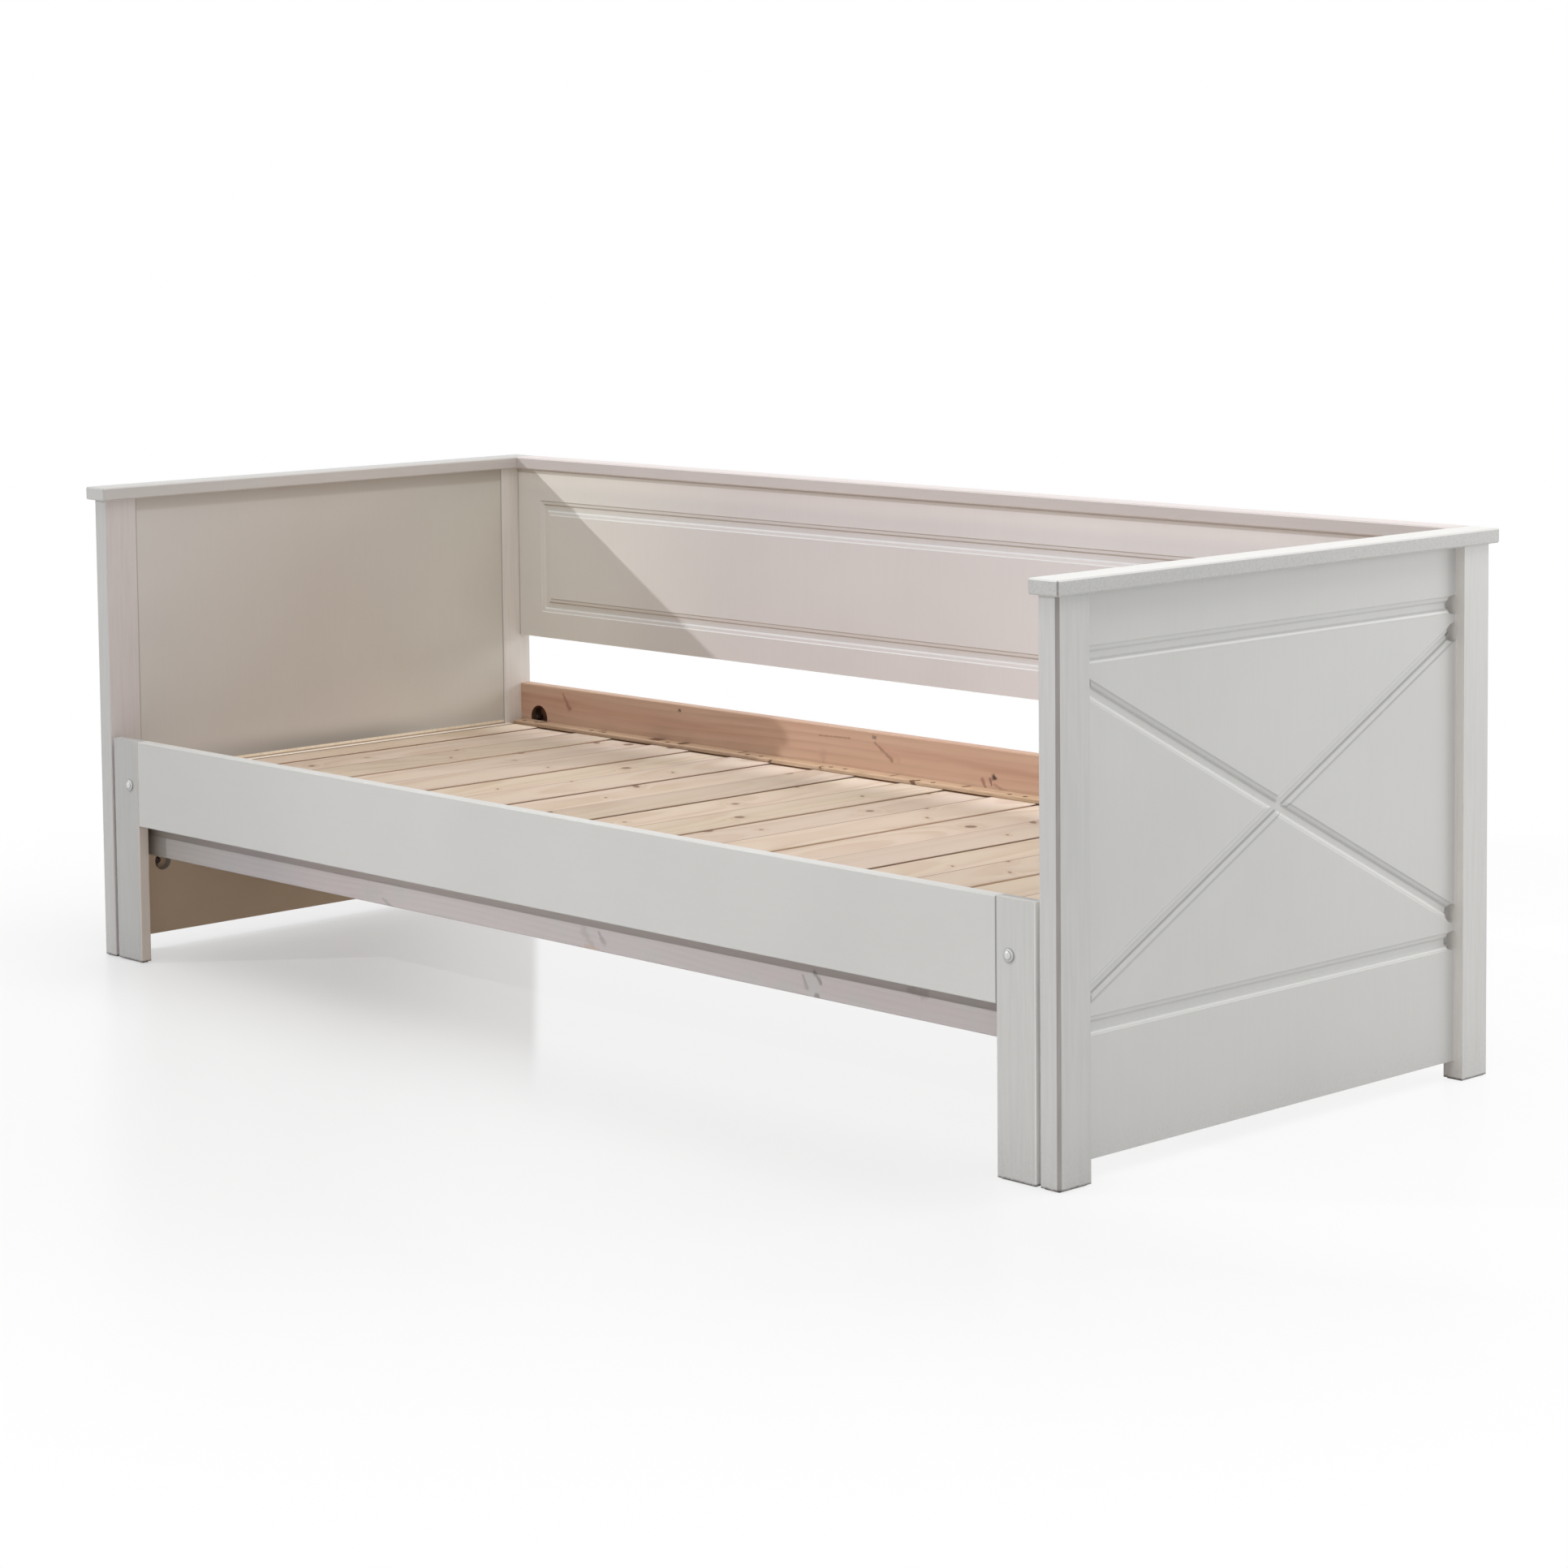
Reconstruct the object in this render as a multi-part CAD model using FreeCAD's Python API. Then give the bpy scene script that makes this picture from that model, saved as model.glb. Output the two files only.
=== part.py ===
import FreeCAD, Part
import math
import os

# A daybed that pulls out to double its depth.  Every second slat of the deck belongs to a
# front rail on two legs, and slides out between the fixed slats like the teeth of a comb.
#
# Millimetres.  X runs along the bed, -Y is its open front, +Z is up.  The origin is on the
# floor under the middle of the bed.

# ---------------------------------------------------------------- driving dimensions

# Overall frame, without the overhang of the caps
bed_length = 2060.0
bed_depth = 860.0
bed_height = 748.0

# Posts, caps and the pads under the posts and legs
post_width = 32.0
post_depth = 57.0
post_chamfer = 4.0
cap_thickness = 20.0
cap_overhang = 9.0
cap_edge = 2.0
glide_thickness = 2.0
glide_inset = 4.0
board_edge = 1.2

# End panels, between the front and rear posts
end_panel_thickness = 16.0
end_panel_recess = 14.0
end_panel_floor_gap = 27.0

# Back panel, between the rear posts
back_panel_thickness = 18.0
back_board_setback = 21.0
back_panel_bottom = 440.0

# Moulded grooves: half widths and depths of one side of the cutter, from the face inwards
groove_lip = 12.4
groove_lip_depth = 1.2
groove_land = 6.6
groove_land_depth = 1.8
groove_floor = 4.0
groove_depth = 4.2
groove_step = 1.6
upper_groove_drop = 79.5
lower_groove_rise = 165.5
diagonal_spacing = 34.0
run_out_radius = 13.0
run_out_inset = 6.0
run_out_depth = 12.0
back_groove_side_margin = 71.5
back_groove_top_margin = 65.0
back_groove_bottom_margin = 56.0

# Deck of slats
deck_height = 289.0
slat_thickness = 18.0
moving_slat_thickness = 15.5
slat_width = 95.0
slat_gap = 1.8
slat_edge = 1.0
side_strip_width = 15.0
slide_clearance = 0.3
rear_slat_clearance = 4.0

# Fixed rails and strips that carry the deck
back_rail_thickness = 20.0
back_rail_height = 120.0
back_rail_above_deck = 67.0
inner_rail_thickness = 22.0
inner_rail_height = 105.0
inner_rail_setback = 33.0
inner_rail_edge = 3.0
rear_cleat_depth = 30.0
rear_cleat_height = 35.0
hold_down_thickness = 6.0
hold_down_end_play = 0.5

# Pull-out front: rail, legs, cleat and stop batten
front_thickness = 18.0
front_rail_height = 134.0
front_rail_above_deck = 63.0
leg_width = 65.0
leg_post_gap = 7.0
lap_thickness = 9.0
lap_length = 60.0
front_cleat_depth = 13.0
front_cleat_height = 30.0
batten_depth = 20.0
batten_height = 40.0
batten_running_gap = 2.0
stop_gap = 2.0

# Leg bolts with pronged nuts
leg_bolt_inset = 43.0
leg_bolt_below_top = 70.5
bolt_head_diameter = 16.5
bolt_head_height = 4.5
bolt_head_rim = 0.9
bolt_diameter = 8.0
leg_nut_barrel_diameter = 11.0
leg_nut_flange_diameter = 22.0
leg_nut_flange_thickness = 1.5

# Stud connectors: a stud in the post, a crescent washer and a nut in a round recess
stud_diameter = 6.0
stud_depth_in_post = 22.0
nut_across_flats = 10.0
nut_thickness = 5.0
washer_thickness = 6.0
washer_height = 11.0
stud_past_nut = 3.0
rail_recess_diameter = 42.0
rail_recess_depth = 16.5
rail_recess_inset = 48.0
panel_recess_diameter = 30.0
panel_recess_past_axis = 5.5
panel_recess_inset = 37.0
panel_recess_height = 143.0
back_rail_recess_drop = 57.0
recess_play = 0.1

# Hidden fasteners are drawn with this many flats
fastener_sides = 8
nut_sides = 6
washer_sides = 16

# Dowels
dowel_diameter = 8.0
dowel_half_length = 18.0
cap_dowel_depth = 12.0
end_panel_dowel_margin = 48.0
back_panel_dowel_margin = 28.0
rail_dowel_margin = 22.0
back_cap_dowel_share = 0.6

# Countersunk wood screws through the hold-down strip
screw_diameter = 4.0
screw_head_diameter = 8.0
screw_head_height = 2.5
screw_length = 20.0
screw_spacing = 32.0
screw_line_setback = 19.0

# Slack for picking the edges of a face, and how far a cutter runs past the wood
edge_slack = 1.0
overcut = 1.0

# ---------------------------------------------------------------- places worked out from them

half_length = bed_length / 2
half_depth = bed_depth / 2
inner_half_length = half_length - post_width
inner_half_depth = half_depth - post_depth
wood_bottom = glide_thickness
post_top = bed_height - cap_thickness
cap_outer_x = half_length + cap_overhang
cap_outer_y = half_depth + cap_overhang
cap_inner_x = inner_half_length - cap_overhang

end_panel_outer_x = half_length - end_panel_recess
end_panel_inner_x = end_panel_outer_x - end_panel_thickness

back_face_y = half_depth - back_board_setback
back_rail_top = deck_height + back_rail_above_deck
back_rail_bottom = back_rail_top - back_rail_height

deck_underside = deck_height - slat_thickness
inner_rail_front_y = -half_depth + inner_rail_setback
inner_rail_rear_y = inner_rail_front_y + inner_rail_thickness
inner_rail_bottom = deck_underside - inner_rail_height
rear_cleat_front_y = back_face_y - rear_cleat_depth

slat_pitch = slat_width + slat_gap
side_strip_inner_x = inner_half_length - side_strip_width

front_face_y = -half_depth
front_back_y = front_face_y + front_thickness
front_rail_top = deck_height + front_rail_above_deck
front_rail_bottom = front_rail_top - front_rail_height
leg_outer_x = inner_half_length - leg_post_gap
leg_inner_x = leg_outer_x - leg_width

# The outermost moving slats stay between the legs, and moving slats are the odd ones.
outermost_slat = int((leg_inner_x - slat_width / 2) / slat_pitch)
outermost_moving = outermost_slat if outermost_slat % 2 else outermost_slat - 1
moving_half_span = outermost_moving * slat_pitch + slat_width / 2

moving_underside = deck_underside + slide_clearance
moving_top = moving_underside + moving_slat_thickness
batten_rear_y = rear_cleat_front_y - batten_running_gap
batten_front_y = batten_rear_y - batten_depth
travel = batten_front_y - inner_rail_rear_y - stop_gap

RIGHT = FreeCAD.Vector(1, 0, 0)
REAR = FreeCAD.Vector(0, 1, 0)
UP = FreeCAD.Vector(0, 0, 1)
CENTRE = FreeCAD.Vector(0, 0, 0)


# ---------------------------------------------------------------- shared shapes

def point(x, y, z):
    return FreeCAD.Vector(x, y, z)


def board(x0, x1, y0, y1, z0, z1):
    """A rectangular board between two corners."""
    return Part.makeBox(x1 - x0, y1 - y0, z1 - z0, point(x0, y0, z0))


def rod(start, direction, length, diameter):
    """A round bar from a start point along a direction."""
    return Part.makeCylinder(diameter / 2, length, start, direction)


def ring(centre, direction, diameter, sides):
    """Regular outline across a direction, with flats as far apart as the diameter."""
    across = direction.cross(UP)
    if across.Length < 0.5:
        across = RIGHT
    along = direction.cross(across)
    radius = diameter / 2 / math.cos(math.pi / sides)
    corners = []
    for index in range(sides):
        angle = math.pi * (2 * index + 1) / sides
        corners.append(centre + across * (radius * math.cos(angle)) + along * (radius * math.sin(angle)))
    return Part.makePolygon(corners + [corners[0]])


def bar(start, direction, length, diameter, sides=fastener_sides):
    """A small flat-sided bar, for hidden fasteners and nuts."""
    return Part.Face(ring(start, direction, diameter, sides)).extrude(direction * length)


def edges_along(shape, direction, wanted=lambda middle: True):
    """The straight edges that run along a direction and whose middle point is wanted."""
    chosen = []
    for edge in shape.Edges:
        ends = edge.Vertexes
        if len(ends) != 2:
            continue
        run = ends[1].Point.sub(ends[0].Point)
        middle = (ends[0].Point + ends[1].Point) * 0.5
        if run.cross(direction).Length < 1e-6 and wanted(middle):
            chosen.append(edge)
    return chosen


def eased(shape, directions, size=board_edge):
    """Break the edges of a board that run along the given directions."""
    edges = []
    for direction in directions:
        edges.extend(edges_along(shape, direction))
    return shape.makeChamfer(size, edges)


def mirrored(shape):
    """The same piece for the other end of the bed."""
    return shape.mirror(CENTRE, RIGHT)


def both_ends(shape):
    return [shape, mirrored(shape)]


def write(node, solids):
    """Write one named node, as one solid or as a group of separate solids."""
    for solid in solids:
        if not solid.isValid() or solid.Volume <= 0:
            raise ValueError(node + " holds a broken solid")
    shape = solids[0] if len(solids) == 1 else Part.makeCompound(solids)
    shape.exportStep("parts/" + node + ".step")


# ---------------------------------------------------------------- moulded grooves

def groove_section(start, side, outward):
    """Closed outline of the cutter at a point of a face: floor, sloped wall, land and lip."""
    half = [
        (groove_lip, -groove_step),
        (groove_lip, 0.0),
        (groove_lip - groove_step, groove_lip_depth),
        (groove_land, groove_land_depth),
        (groove_floor, groove_depth),
    ]
    outline = half + [(-offset, depth) for offset, depth in reversed(half)]
    corners = [start + side * offset - outward * depth for offset, depth in outline]
    return Part.makePolygon(corners + [corners[0]])


def straight_groove(start, end, outward):
    """Solid that the cutter removes on a straight run across a face."""
    run = end.sub(start)
    side = outward.cross(run)
    side.normalize()
    return Part.Face(groove_section(start, side, outward)).extrude(run)


def frame_groove(x_half, z_low, z_high, y, outward):
    """Solid that the cutter removes round a rectangle, with mitred corners."""
    stops = [
        point(0, y, z_low),
        point(x_half, y, z_low),
        point(x_half, y, z_high),
        point(-x_half, y, z_high),
        point(-x_half, y, z_low),
        point(0, y, z_low),
    ]
    path = Part.makePolygon(stops)
    right_corners = 1
    return path.makePipeShell([groove_section(stops[0], UP, outward)], True, False, right_corners)


# ---------------------------------------------------------------- joints between boards

def stud_connector(joint, inward, outward, axis_depth, recess_diameter, recess_depth, inset):
    """Stud from a post into a board, and the recess, crescent washer and nut that draw it tight.

    joint is where the stud's axis crosses the end of the board, inward points from the post
    into the board, and outward points out of the face that holds the recess."""
    radius = recess_diameter / 2
    wall = inset - radius
    mouth = joint + inward * inset + outward * axis_depth
    recess = rod(mouth, outward * -1, recess_depth, recess_diameter)
    stud_length = stud_depth_in_post + wall + washer_thickness + nut_thickness + stud_past_nut
    stud = bar(joint - inward * stud_depth_in_post, inward, stud_length, stud_diameter)

    middle = joint + inward * inset
    disc_start = middle - outward * (washer_height / 2)
    disc_diameter = (recess_diameter - 2 * recess_play) * math.cos(math.pi / washer_sides)
    disc = bar(disc_start, outward, washer_height, disc_diameter, washer_sides)
    reach = radius - washer_thickness
    blank = rod(middle - inward * reach, inward, recess_diameter, 2 * recess_diameter)
    washer = disc.cut(blank).cut(stud)

    nut_start = joint + inward * (wall + washer_thickness)
    nut = bar(nut_start, inward, nut_thickness, nut_across_flats, nut_sides).cut(stud)
    return {"recess": recess, "stud": stud, "washer": washer, "nut": nut}


def dowel_across(joint, direction, depth_one, depth_two):
    """A dowel on a joint face, with its depth on each side of the face."""
    return bar(joint - direction * depth_one, direction, depth_one + depth_two, dowel_diameter)


def panel_sizes(thickness):
    """Axis depth and recess diameter, depth and inset of a connector in a thin panel."""
    axis_depth = thickness / 2
    recess_depth = axis_depth + panel_recess_past_axis
    return (axis_depth, panel_recess_diameter, recess_depth, panel_recess_inset)


def right_connectors():
    """The stud connectors of the right-hand end, by the board that holds their recess."""
    board_end = inner_half_length
    end_panel_x = (end_panel_outer_x + end_panel_inner_x) / 2
    rail_sizes = (rail_recess_diameter, rail_recess_depth, rail_recess_inset)
    connectors = {"end_panel": []}
    for side in (-1, 1):
        joint = point(end_panel_x, side * inner_half_depth, panel_recess_height)
        connectors["end_panel"].append(
            stud_connector(joint, REAR * -side, RIGHT * -1, *panel_sizes(end_panel_thickness)))

    back_rail_y = back_face_y + back_rail_thickness / 2
    joint = point(board_end, back_rail_y, back_rail_top - back_rail_recess_drop)
    connectors["back_rail"] = [
        stud_connector(joint, RIGHT * -1, REAR * -1, back_rail_thickness / 2, *rail_sizes)]

    inner_rail_y = inner_rail_front_y + inner_rail_thickness / 2
    joint = point(board_end, inner_rail_y, (deck_underside + inner_rail_bottom) / 2)
    connectors["inner_front_rail"] = [
        stud_connector(joint, RIGHT * -1, REAR, inner_rail_thickness / 2, *rail_sizes)]

    back_panel_y = back_face_y + back_panel_thickness / 2
    joint = point(board_end, back_panel_y, (back_panel_bottom + post_top) / 2)
    connectors["back_panel"] = [
        stud_connector(joint, RIGHT * -1, REAR, *panel_sizes(back_panel_thickness))]
    return connectors


def right_dowels():
    """The dowels between the right-hand posts and the boards that meet them."""
    dowels = []
    end_panel_x = (end_panel_outer_x + end_panel_inner_x) / 2
    for side in (-1, 1):
        for z in (end_panel_floor_gap + end_panel_dowel_margin, post_top - end_panel_dowel_margin):
            joint = point(end_panel_x, side * inner_half_depth, z)
            dowels.append(dowel_across(joint, REAR, dowel_half_length, dowel_half_length))
    panel_y = back_face_y + back_panel_thickness / 2
    for z in (back_panel_bottom + back_panel_dowel_margin, post_top - back_panel_dowel_margin):
        joint = point(inner_half_length, panel_y, z)
        dowels.append(dowel_across(joint, RIGHT, dowel_half_length, dowel_half_length))
    back_rail_y = back_face_y + back_rail_thickness / 2
    inner_rail_y = inner_rail_front_y + inner_rail_thickness / 2
    for y, bottom in ((back_rail_y, back_rail_bottom), (inner_rail_y, inner_rail_bottom)):
        joint = point(inner_half_length, y, bottom + rail_dowel_margin)
        dowels.append(dowel_across(joint, RIGHT, dowel_half_length, dowel_half_length))
    return dowels


def cap_dowels():
    """Upright dowels that seat the caps on the posts and on the back panel."""
    post_x = half_length - post_width / 2
    post_y = half_depth - post_depth / 2
    places = [(sx * post_x, sy * post_y) for sx in (-1, 1) for sy in (-1, 1)]
    panel_y = back_face_y + back_panel_thickness / 2
    shares = (-back_cap_dowel_share, 0.0, back_cap_dowel_share)
    places += [(share * inner_half_length, panel_y) for share in shares]
    dowels = []
    for x, y in places:
        dowels.append(dowel_across(point(x, y, post_top), UP, dowel_half_length, cap_dowel_depth))
    return dowels


# ---------------------------------------------------------------- fixed frame

def right_post(front):
    """A right-hand post, its outer corner broken by a wide chamfer."""
    y0, y1 = (-half_depth, -inner_half_depth) if front else (inner_half_depth, half_depth)
    post = board(inner_half_length, half_length, y0, y1, wood_bottom, post_top)
    corner_y = y0 if front else y1
    outer = edges_along(
        post, UP, lambda m: m.x > half_length - edge_slack and abs(m.y - corner_y) < edge_slack)
    post = post.makeChamfer(post_chamfer, outer)
    others = edges_along(post, UP, lambda m: m.x < inner_half_length + edge_slack)
    return post.makeChamfer(board_edge, others)


def right_end_panel():
    """End panel whose outer face carries two level grooves and a crossing pair between them."""
    panel = board(
        end_panel_inner_x, end_panel_outer_x,
        -inner_half_depth, inner_half_depth, end_panel_floor_gap, post_top)
    upper = post_top - upper_groove_drop
    lower = end_panel_floor_gap + lower_groove_rise
    ends = [
        (upper, upper),
        (lower, lower),
        (lower + diagonal_spacing, upper - diagonal_spacing),
        (upper - diagonal_spacing, lower + diagonal_spacing),
    ]
    overrun = inner_half_depth + post_depth / 2
    cuts = []
    for z_front, z_rear in ends:
        middle = (z_front + z_rear) / 2
        slope = (z_rear - z_front) / (2 * inner_half_depth)
        start = point(end_panel_outer_x, -overrun, middle - slope * overrun)
        end = point(end_panel_outer_x, overrun, middle + slope * overrun)
        cuts.append(straight_groove(start, end, RIGHT))
        for side in (-1, 1):
            y = side * (inner_half_depth - run_out_inset)
            centre = point(end_panel_outer_x, y, middle + slope * y)
            cuts.append(rod(centre, RIGHT * -1, run_out_depth, 2 * run_out_radius))
    for cutter in cuts:
        panel = panel.cut(cutter)
    return panel


def back_panel():
    """Back panel with one moulded rectangle round its front face."""
    panel = board(
        -inner_half_length, inner_half_length,
        back_face_y, back_face_y + back_panel_thickness, back_panel_bottom, post_top)
    rectangle = frame_groove(
        inner_half_length - back_groove_side_margin,
        back_panel_bottom + back_groove_bottom_margin,
        post_top - back_groove_top_margin,
        back_face_y, REAR * -1)
    return panel.cut(rectangle)


def back_rail():
    """Raw pine rail behind the deck, between the rear posts."""
    rail = board(
        -inner_half_length, inner_half_length,
        back_face_y, back_face_y + back_rail_thickness, back_rail_bottom, back_rail_top)
    return eased(rail, [RIGHT])


def inner_front_rail():
    """Fixed rail behind the pull-out front, which carries the front of the deck."""
    rail = board(
        -inner_half_length, inner_half_length,
        inner_rail_front_y, inner_rail_rear_y, inner_rail_bottom, deck_underside)
    lower_front = edges_along(
        rail, RIGHT,
        lambda m: m.z < inner_rail_bottom + edge_slack and m.y < inner_rail_front_y + edge_slack)
    return rail.makeFillet(inner_rail_edge, lower_front)


def rear_slat_cleat():
    """Ledge on the back rail that carries the rear of the deck."""
    return board(
        -inner_half_length, inner_half_length,
        rear_cleat_front_y, back_face_y, deck_underside - rear_cleat_height, deck_underside)


def hold_down_strip():
    """Thin strip over the rear ends of the slats, which keeps the moving ones down."""
    half = side_strip_inner_x - hold_down_end_play
    strip = board(
        -half, half, rear_cleat_front_y, back_face_y,
        deck_height, deck_height + hold_down_thickness)
    return eased(strip, [RIGHT])


def end_cap():
    """Cap along the right-hand end, over both posts and the end panel."""
    cap = board(cap_inner_x, cap_outer_x, -cap_outer_y, cap_outer_y, post_top, bed_height)
    return eased(cap, [RIGHT, REAR, UP], cap_edge)


def back_cap():
    """Cap along the back panel, fitted between the end caps."""
    cap = board(
        -cap_inner_x, cap_inner_x, back_face_y - cap_overhang, cap_outer_y, post_top, bed_height)
    return eased(cap, [RIGHT], cap_edge)


# ---------------------------------------------------------------- deck

def fixed_slats():
    """The even slats, which span from the inner front rail to the back rail."""
    slats = []
    for index in range(-outermost_moving + 1, outermost_moving, 2):
        x = index * slat_pitch
        slat = board(
            x - slat_width / 2, x + slat_width / 2,
            inner_rail_front_y, back_face_y, deck_underside, deck_height)
        slats.append(eased(slat, [REAR], slat_edge))
    return slats


def right_end_slat():
    """Narrower fixed slat between the outermost moving slat and the side strip."""
    slat = board(
        moving_half_span + slat_gap, side_strip_inner_x - slat_gap,
        inner_rail_front_y, back_face_y, deck_underside, deck_height)
    return eased(slat, [REAR], slat_edge)


def right_side_strip():
    """Strip that closes the deck along the end panel."""
    strip = board(
        side_strip_inner_x, inner_half_length,
        inner_rail_front_y, back_face_y, deck_underside, deck_height)
    return eased(strip, [REAR], slat_edge)


def moving_slats():
    """The odd slats, which ride out over the inner front rail with the front."""
    slats = []
    for index in range(-outermost_moving, outermost_moving + 1, 2):
        x = index * slat_pitch
        slat = board(
            x - slat_width / 2, x + slat_width / 2,
            front_back_y, back_face_y - rear_slat_clearance, moving_underside, moving_top)
        slats.append(eased(slat, [REAR], slat_edge))
    return slats


def hold_down_screws():
    """Pairs of countersunk screws through the hold-down strip into each fixed slat."""
    centres = [index * slat_pitch for index in range(-outermost_moving + 1, outermost_moving, 2)]
    end_slat_centre = (moving_half_span + side_strip_inner_x) / 2
    centres += [-end_slat_centre, end_slat_centre]
    top = deck_height + hold_down_thickness
    y = back_face_y - screw_line_setback
    screws = []
    for centre in centres:
        for side in (-1, 1):
            x = centre + side * screw_spacing / 2
            neck = ring(point(x, y, top - screw_head_height), UP, screw_diameter, fastener_sides)
            rim = ring(point(x, y, top), UP, screw_head_diameter, fastener_sides)
            head = Part.makeLoft([neck, rim], True)
            shank_length = screw_length - screw_head_height
            shank = bar(point(x, y, top - screw_length), UP, shank_length, screw_diameter)
            screws.append(head.fuse(shank).removeSplitter())
    return screws


# ---------------------------------------------------------------- pull-out front

def front_rail():
    """Painted front rail, thinned at both ends to lap behind the legs."""
    rail = board(
        -leg_inner_x, leg_inner_x, front_face_y, front_back_y, front_rail_bottom, front_rail_top)
    rail = eased(rail, [RIGHT, UP])
    lap = board(
        -leg_inner_x - lap_length, leg_inner_x + lap_length,
        front_back_y - lap_thickness, front_back_y, front_rail_bottom, front_rail_top)
    return rail.fuse(lap).removeSplitter()


def right_leg():
    """Leg flush with the front rail, rebated at the back to take the rail's lap."""
    leg = board(
        leg_inner_x, leg_outer_x, front_face_y, front_back_y, wood_bottom, front_rail_top)
    leg = eased(leg, [UP])
    rebate = board(
        leg_inner_x - overcut, leg_inner_x + lap_length,
        front_back_y - lap_thickness, front_back_y + overcut,
        front_rail_bottom, front_rail_top + overcut)
    return leg.cut(rebate)


def front_slat_cleat():
    """Cleat behind the front rail that the moving slats are fixed to."""
    return board(
        -moving_half_span, moving_half_span, front_back_y, front_back_y + front_cleat_depth,
        moving_underside - front_cleat_height, moving_underside)


def stop_batten():
    """Batten under the moving slats, which ties them together and stops at the inner rail.

    Its top is cut down under the fixed slats, and rises between them to the moving ones."""
    low_top = deck_underside - batten_running_gap
    batten = board(
        -moving_half_span, moving_half_span, batten_front_y, batten_rear_y,
        moving_underside - batten_height, low_top)
    for index in range(-outermost_moving, outermost_moving + 1, 2):
        x = index * slat_pitch
        seat = board(
            x - slat_width / 2, x + slat_width / 2,
            batten_front_y, batten_rear_y, low_top, moving_underside)
        batten = batten.fuse(seat)
    return batten.removeSplitter()


def leg_bolt_place():
    return leg_outer_x - leg_bolt_inset, front_rail_top - leg_bolt_below_top


def right_leg_bolt():
    """Bolt with a shallow domed head through the leg and the rail's lap."""
    x, z = leg_bolt_place()
    head_radius = bolt_head_diameter / 2
    rise = bolt_head_height - bolt_head_rim
    dome_radius = (head_radius ** 2 + rise ** 2) / (2 * rise)
    half_angle = math.asin(head_radius / dome_radius) / 2
    crown = point(0, 0, bolt_head_height)
    on_dome = point(dome_radius * math.sin(half_angle), 0, 0) + crown
    on_dome.z -= dome_radius * (1 - math.cos(half_angle))
    rim = point(head_radius, 0, bolt_head_rim)
    dome = Part.Arc(crown, on_dome, rim).toShape()
    seat = Part.makePolygon([rim, point(head_radius, 0, 0), CENTRE, crown])
    head = Part.Face(Part.Wire([dome] + seat.Edges)).revolve(CENTRE, UP, 360)
    head.rotate(CENTRE, RIGHT, 90)
    head.translate(point(x, front_face_y, z))
    shank = bar(point(x, front_face_y, z), REAR, front_thickness, bolt_diameter)
    return head.fuse(shank).removeSplitter()


def right_leg_nut():
    """Pronged nut let into the back of the rail's lap, round the end of the bolt."""
    x, z = leg_bolt_place()
    barrel = bar(
        point(x, front_back_y - lap_thickness, z), REAR, lap_thickness, leg_nut_barrel_diameter)
    flange = bar(point(x, front_back_y, z), REAR, leg_nut_flange_thickness, leg_nut_flange_diameter)
    return barrel.fuse(flange).removeSplitter()


# ---------------------------------------------------------------- glides

def post_glides():
    """Thin pads under the four posts."""
    pads = []
    for side in (-1, 1):
        y0, y1 = sorted((side * inner_half_depth, side * half_depth))
        pad = board(
            inner_half_length + glide_inset, half_length - glide_inset,
            y0 + glide_inset, y1 - glide_inset, 0.0, glide_thickness)
        pads.extend(both_ends(pad))
    return pads


def leg_glides():
    """Thin pads under the two pull-out legs."""
    pad = board(
        leg_inner_x + glide_inset, leg_outer_x - glide_inset,
        front_face_y + glide_inset, front_back_y - glide_inset, 0.0, glide_thickness)
    return both_ends(pad)


# ---------------------------------------------------------------- assembly

connectors = right_connectors()
dowels = right_dowels()
caps_dowels = cap_dowels()
every_connector = [one for group in connectors.values() for one in group]
right_studs = [one["stud"] for one in every_connector]
all_studs = right_studs + [mirrored(stud) for stud in right_studs]
all_dowels = dowels + [mirrored(dowel) for dowel in dowels]


def drilled(shape, drills):
    """Cut a board with every fastener that reaches into it."""
    near = [drill for drill in drills if drill.BoundBox.intersect(shape.BoundBox)]
    for drill in near:
        shape = shape.cut(drill)
    return shape


def recesses(name):
    own = [one["recess"] for one in connectors[name]]
    return own + [mirrored(recess) for recess in own]


frame_drills = all_studs + all_dowels + caps_dowels

for place, is_front in (("front", True), ("rear", False)):
    post = drilled(right_post(is_front), frame_drills)
    write("right_" + place + "_post", [post])
    write("left_" + place + "_post", [mirrored(post)])

end_panel = drilled(right_end_panel(), frame_drills + recesses("end_panel"))
write("right_end_panel", [end_panel])
write("left_end_panel", [mirrored(end_panel)])

right_cap = drilled(end_cap(), caps_dowels)
write("right_end_cap", [right_cap])
write("left_end_cap", [mirrored(right_cap)])
write("back_cap", [drilled(back_cap(), caps_dowels)])

write("back_panel", [drilled(back_panel(), frame_drills + recesses("back_panel"))])
write("back_rail", [drilled(back_rail(), frame_drills + recesses("back_rail"))])
write("inner_front_rail", [drilled(inner_front_rail(), frame_drills + recesses("inner_front_rail"))])
write("rear_slat_cleat", [rear_slat_cleat()])

screws = hold_down_screws()
write("slat_hold_down_strip", [drilled(hold_down_strip(), screws)])
write("fixed_slats", [drilled(slat, screws) for slat in fixed_slats()])
write("end_slats", [drilled(slat, screws) for slat in both_ends(right_end_slat())])
write("side_strips", both_ends(right_side_strip()))
write("hold_down_screws", screws)

write("connector_studs", all_studs)
for piece, node in (("washer", "crescent_washers"), ("nut", "connector_nuts")):
    right_pieces = [one[piece] for one in every_connector]
    write(node, right_pieces + [mirrored(item) for item in right_pieces])
write("frame_dowels", all_dowels)
write("cap_dowels", caps_dowels)
write("post_glides", post_glides())

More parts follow.
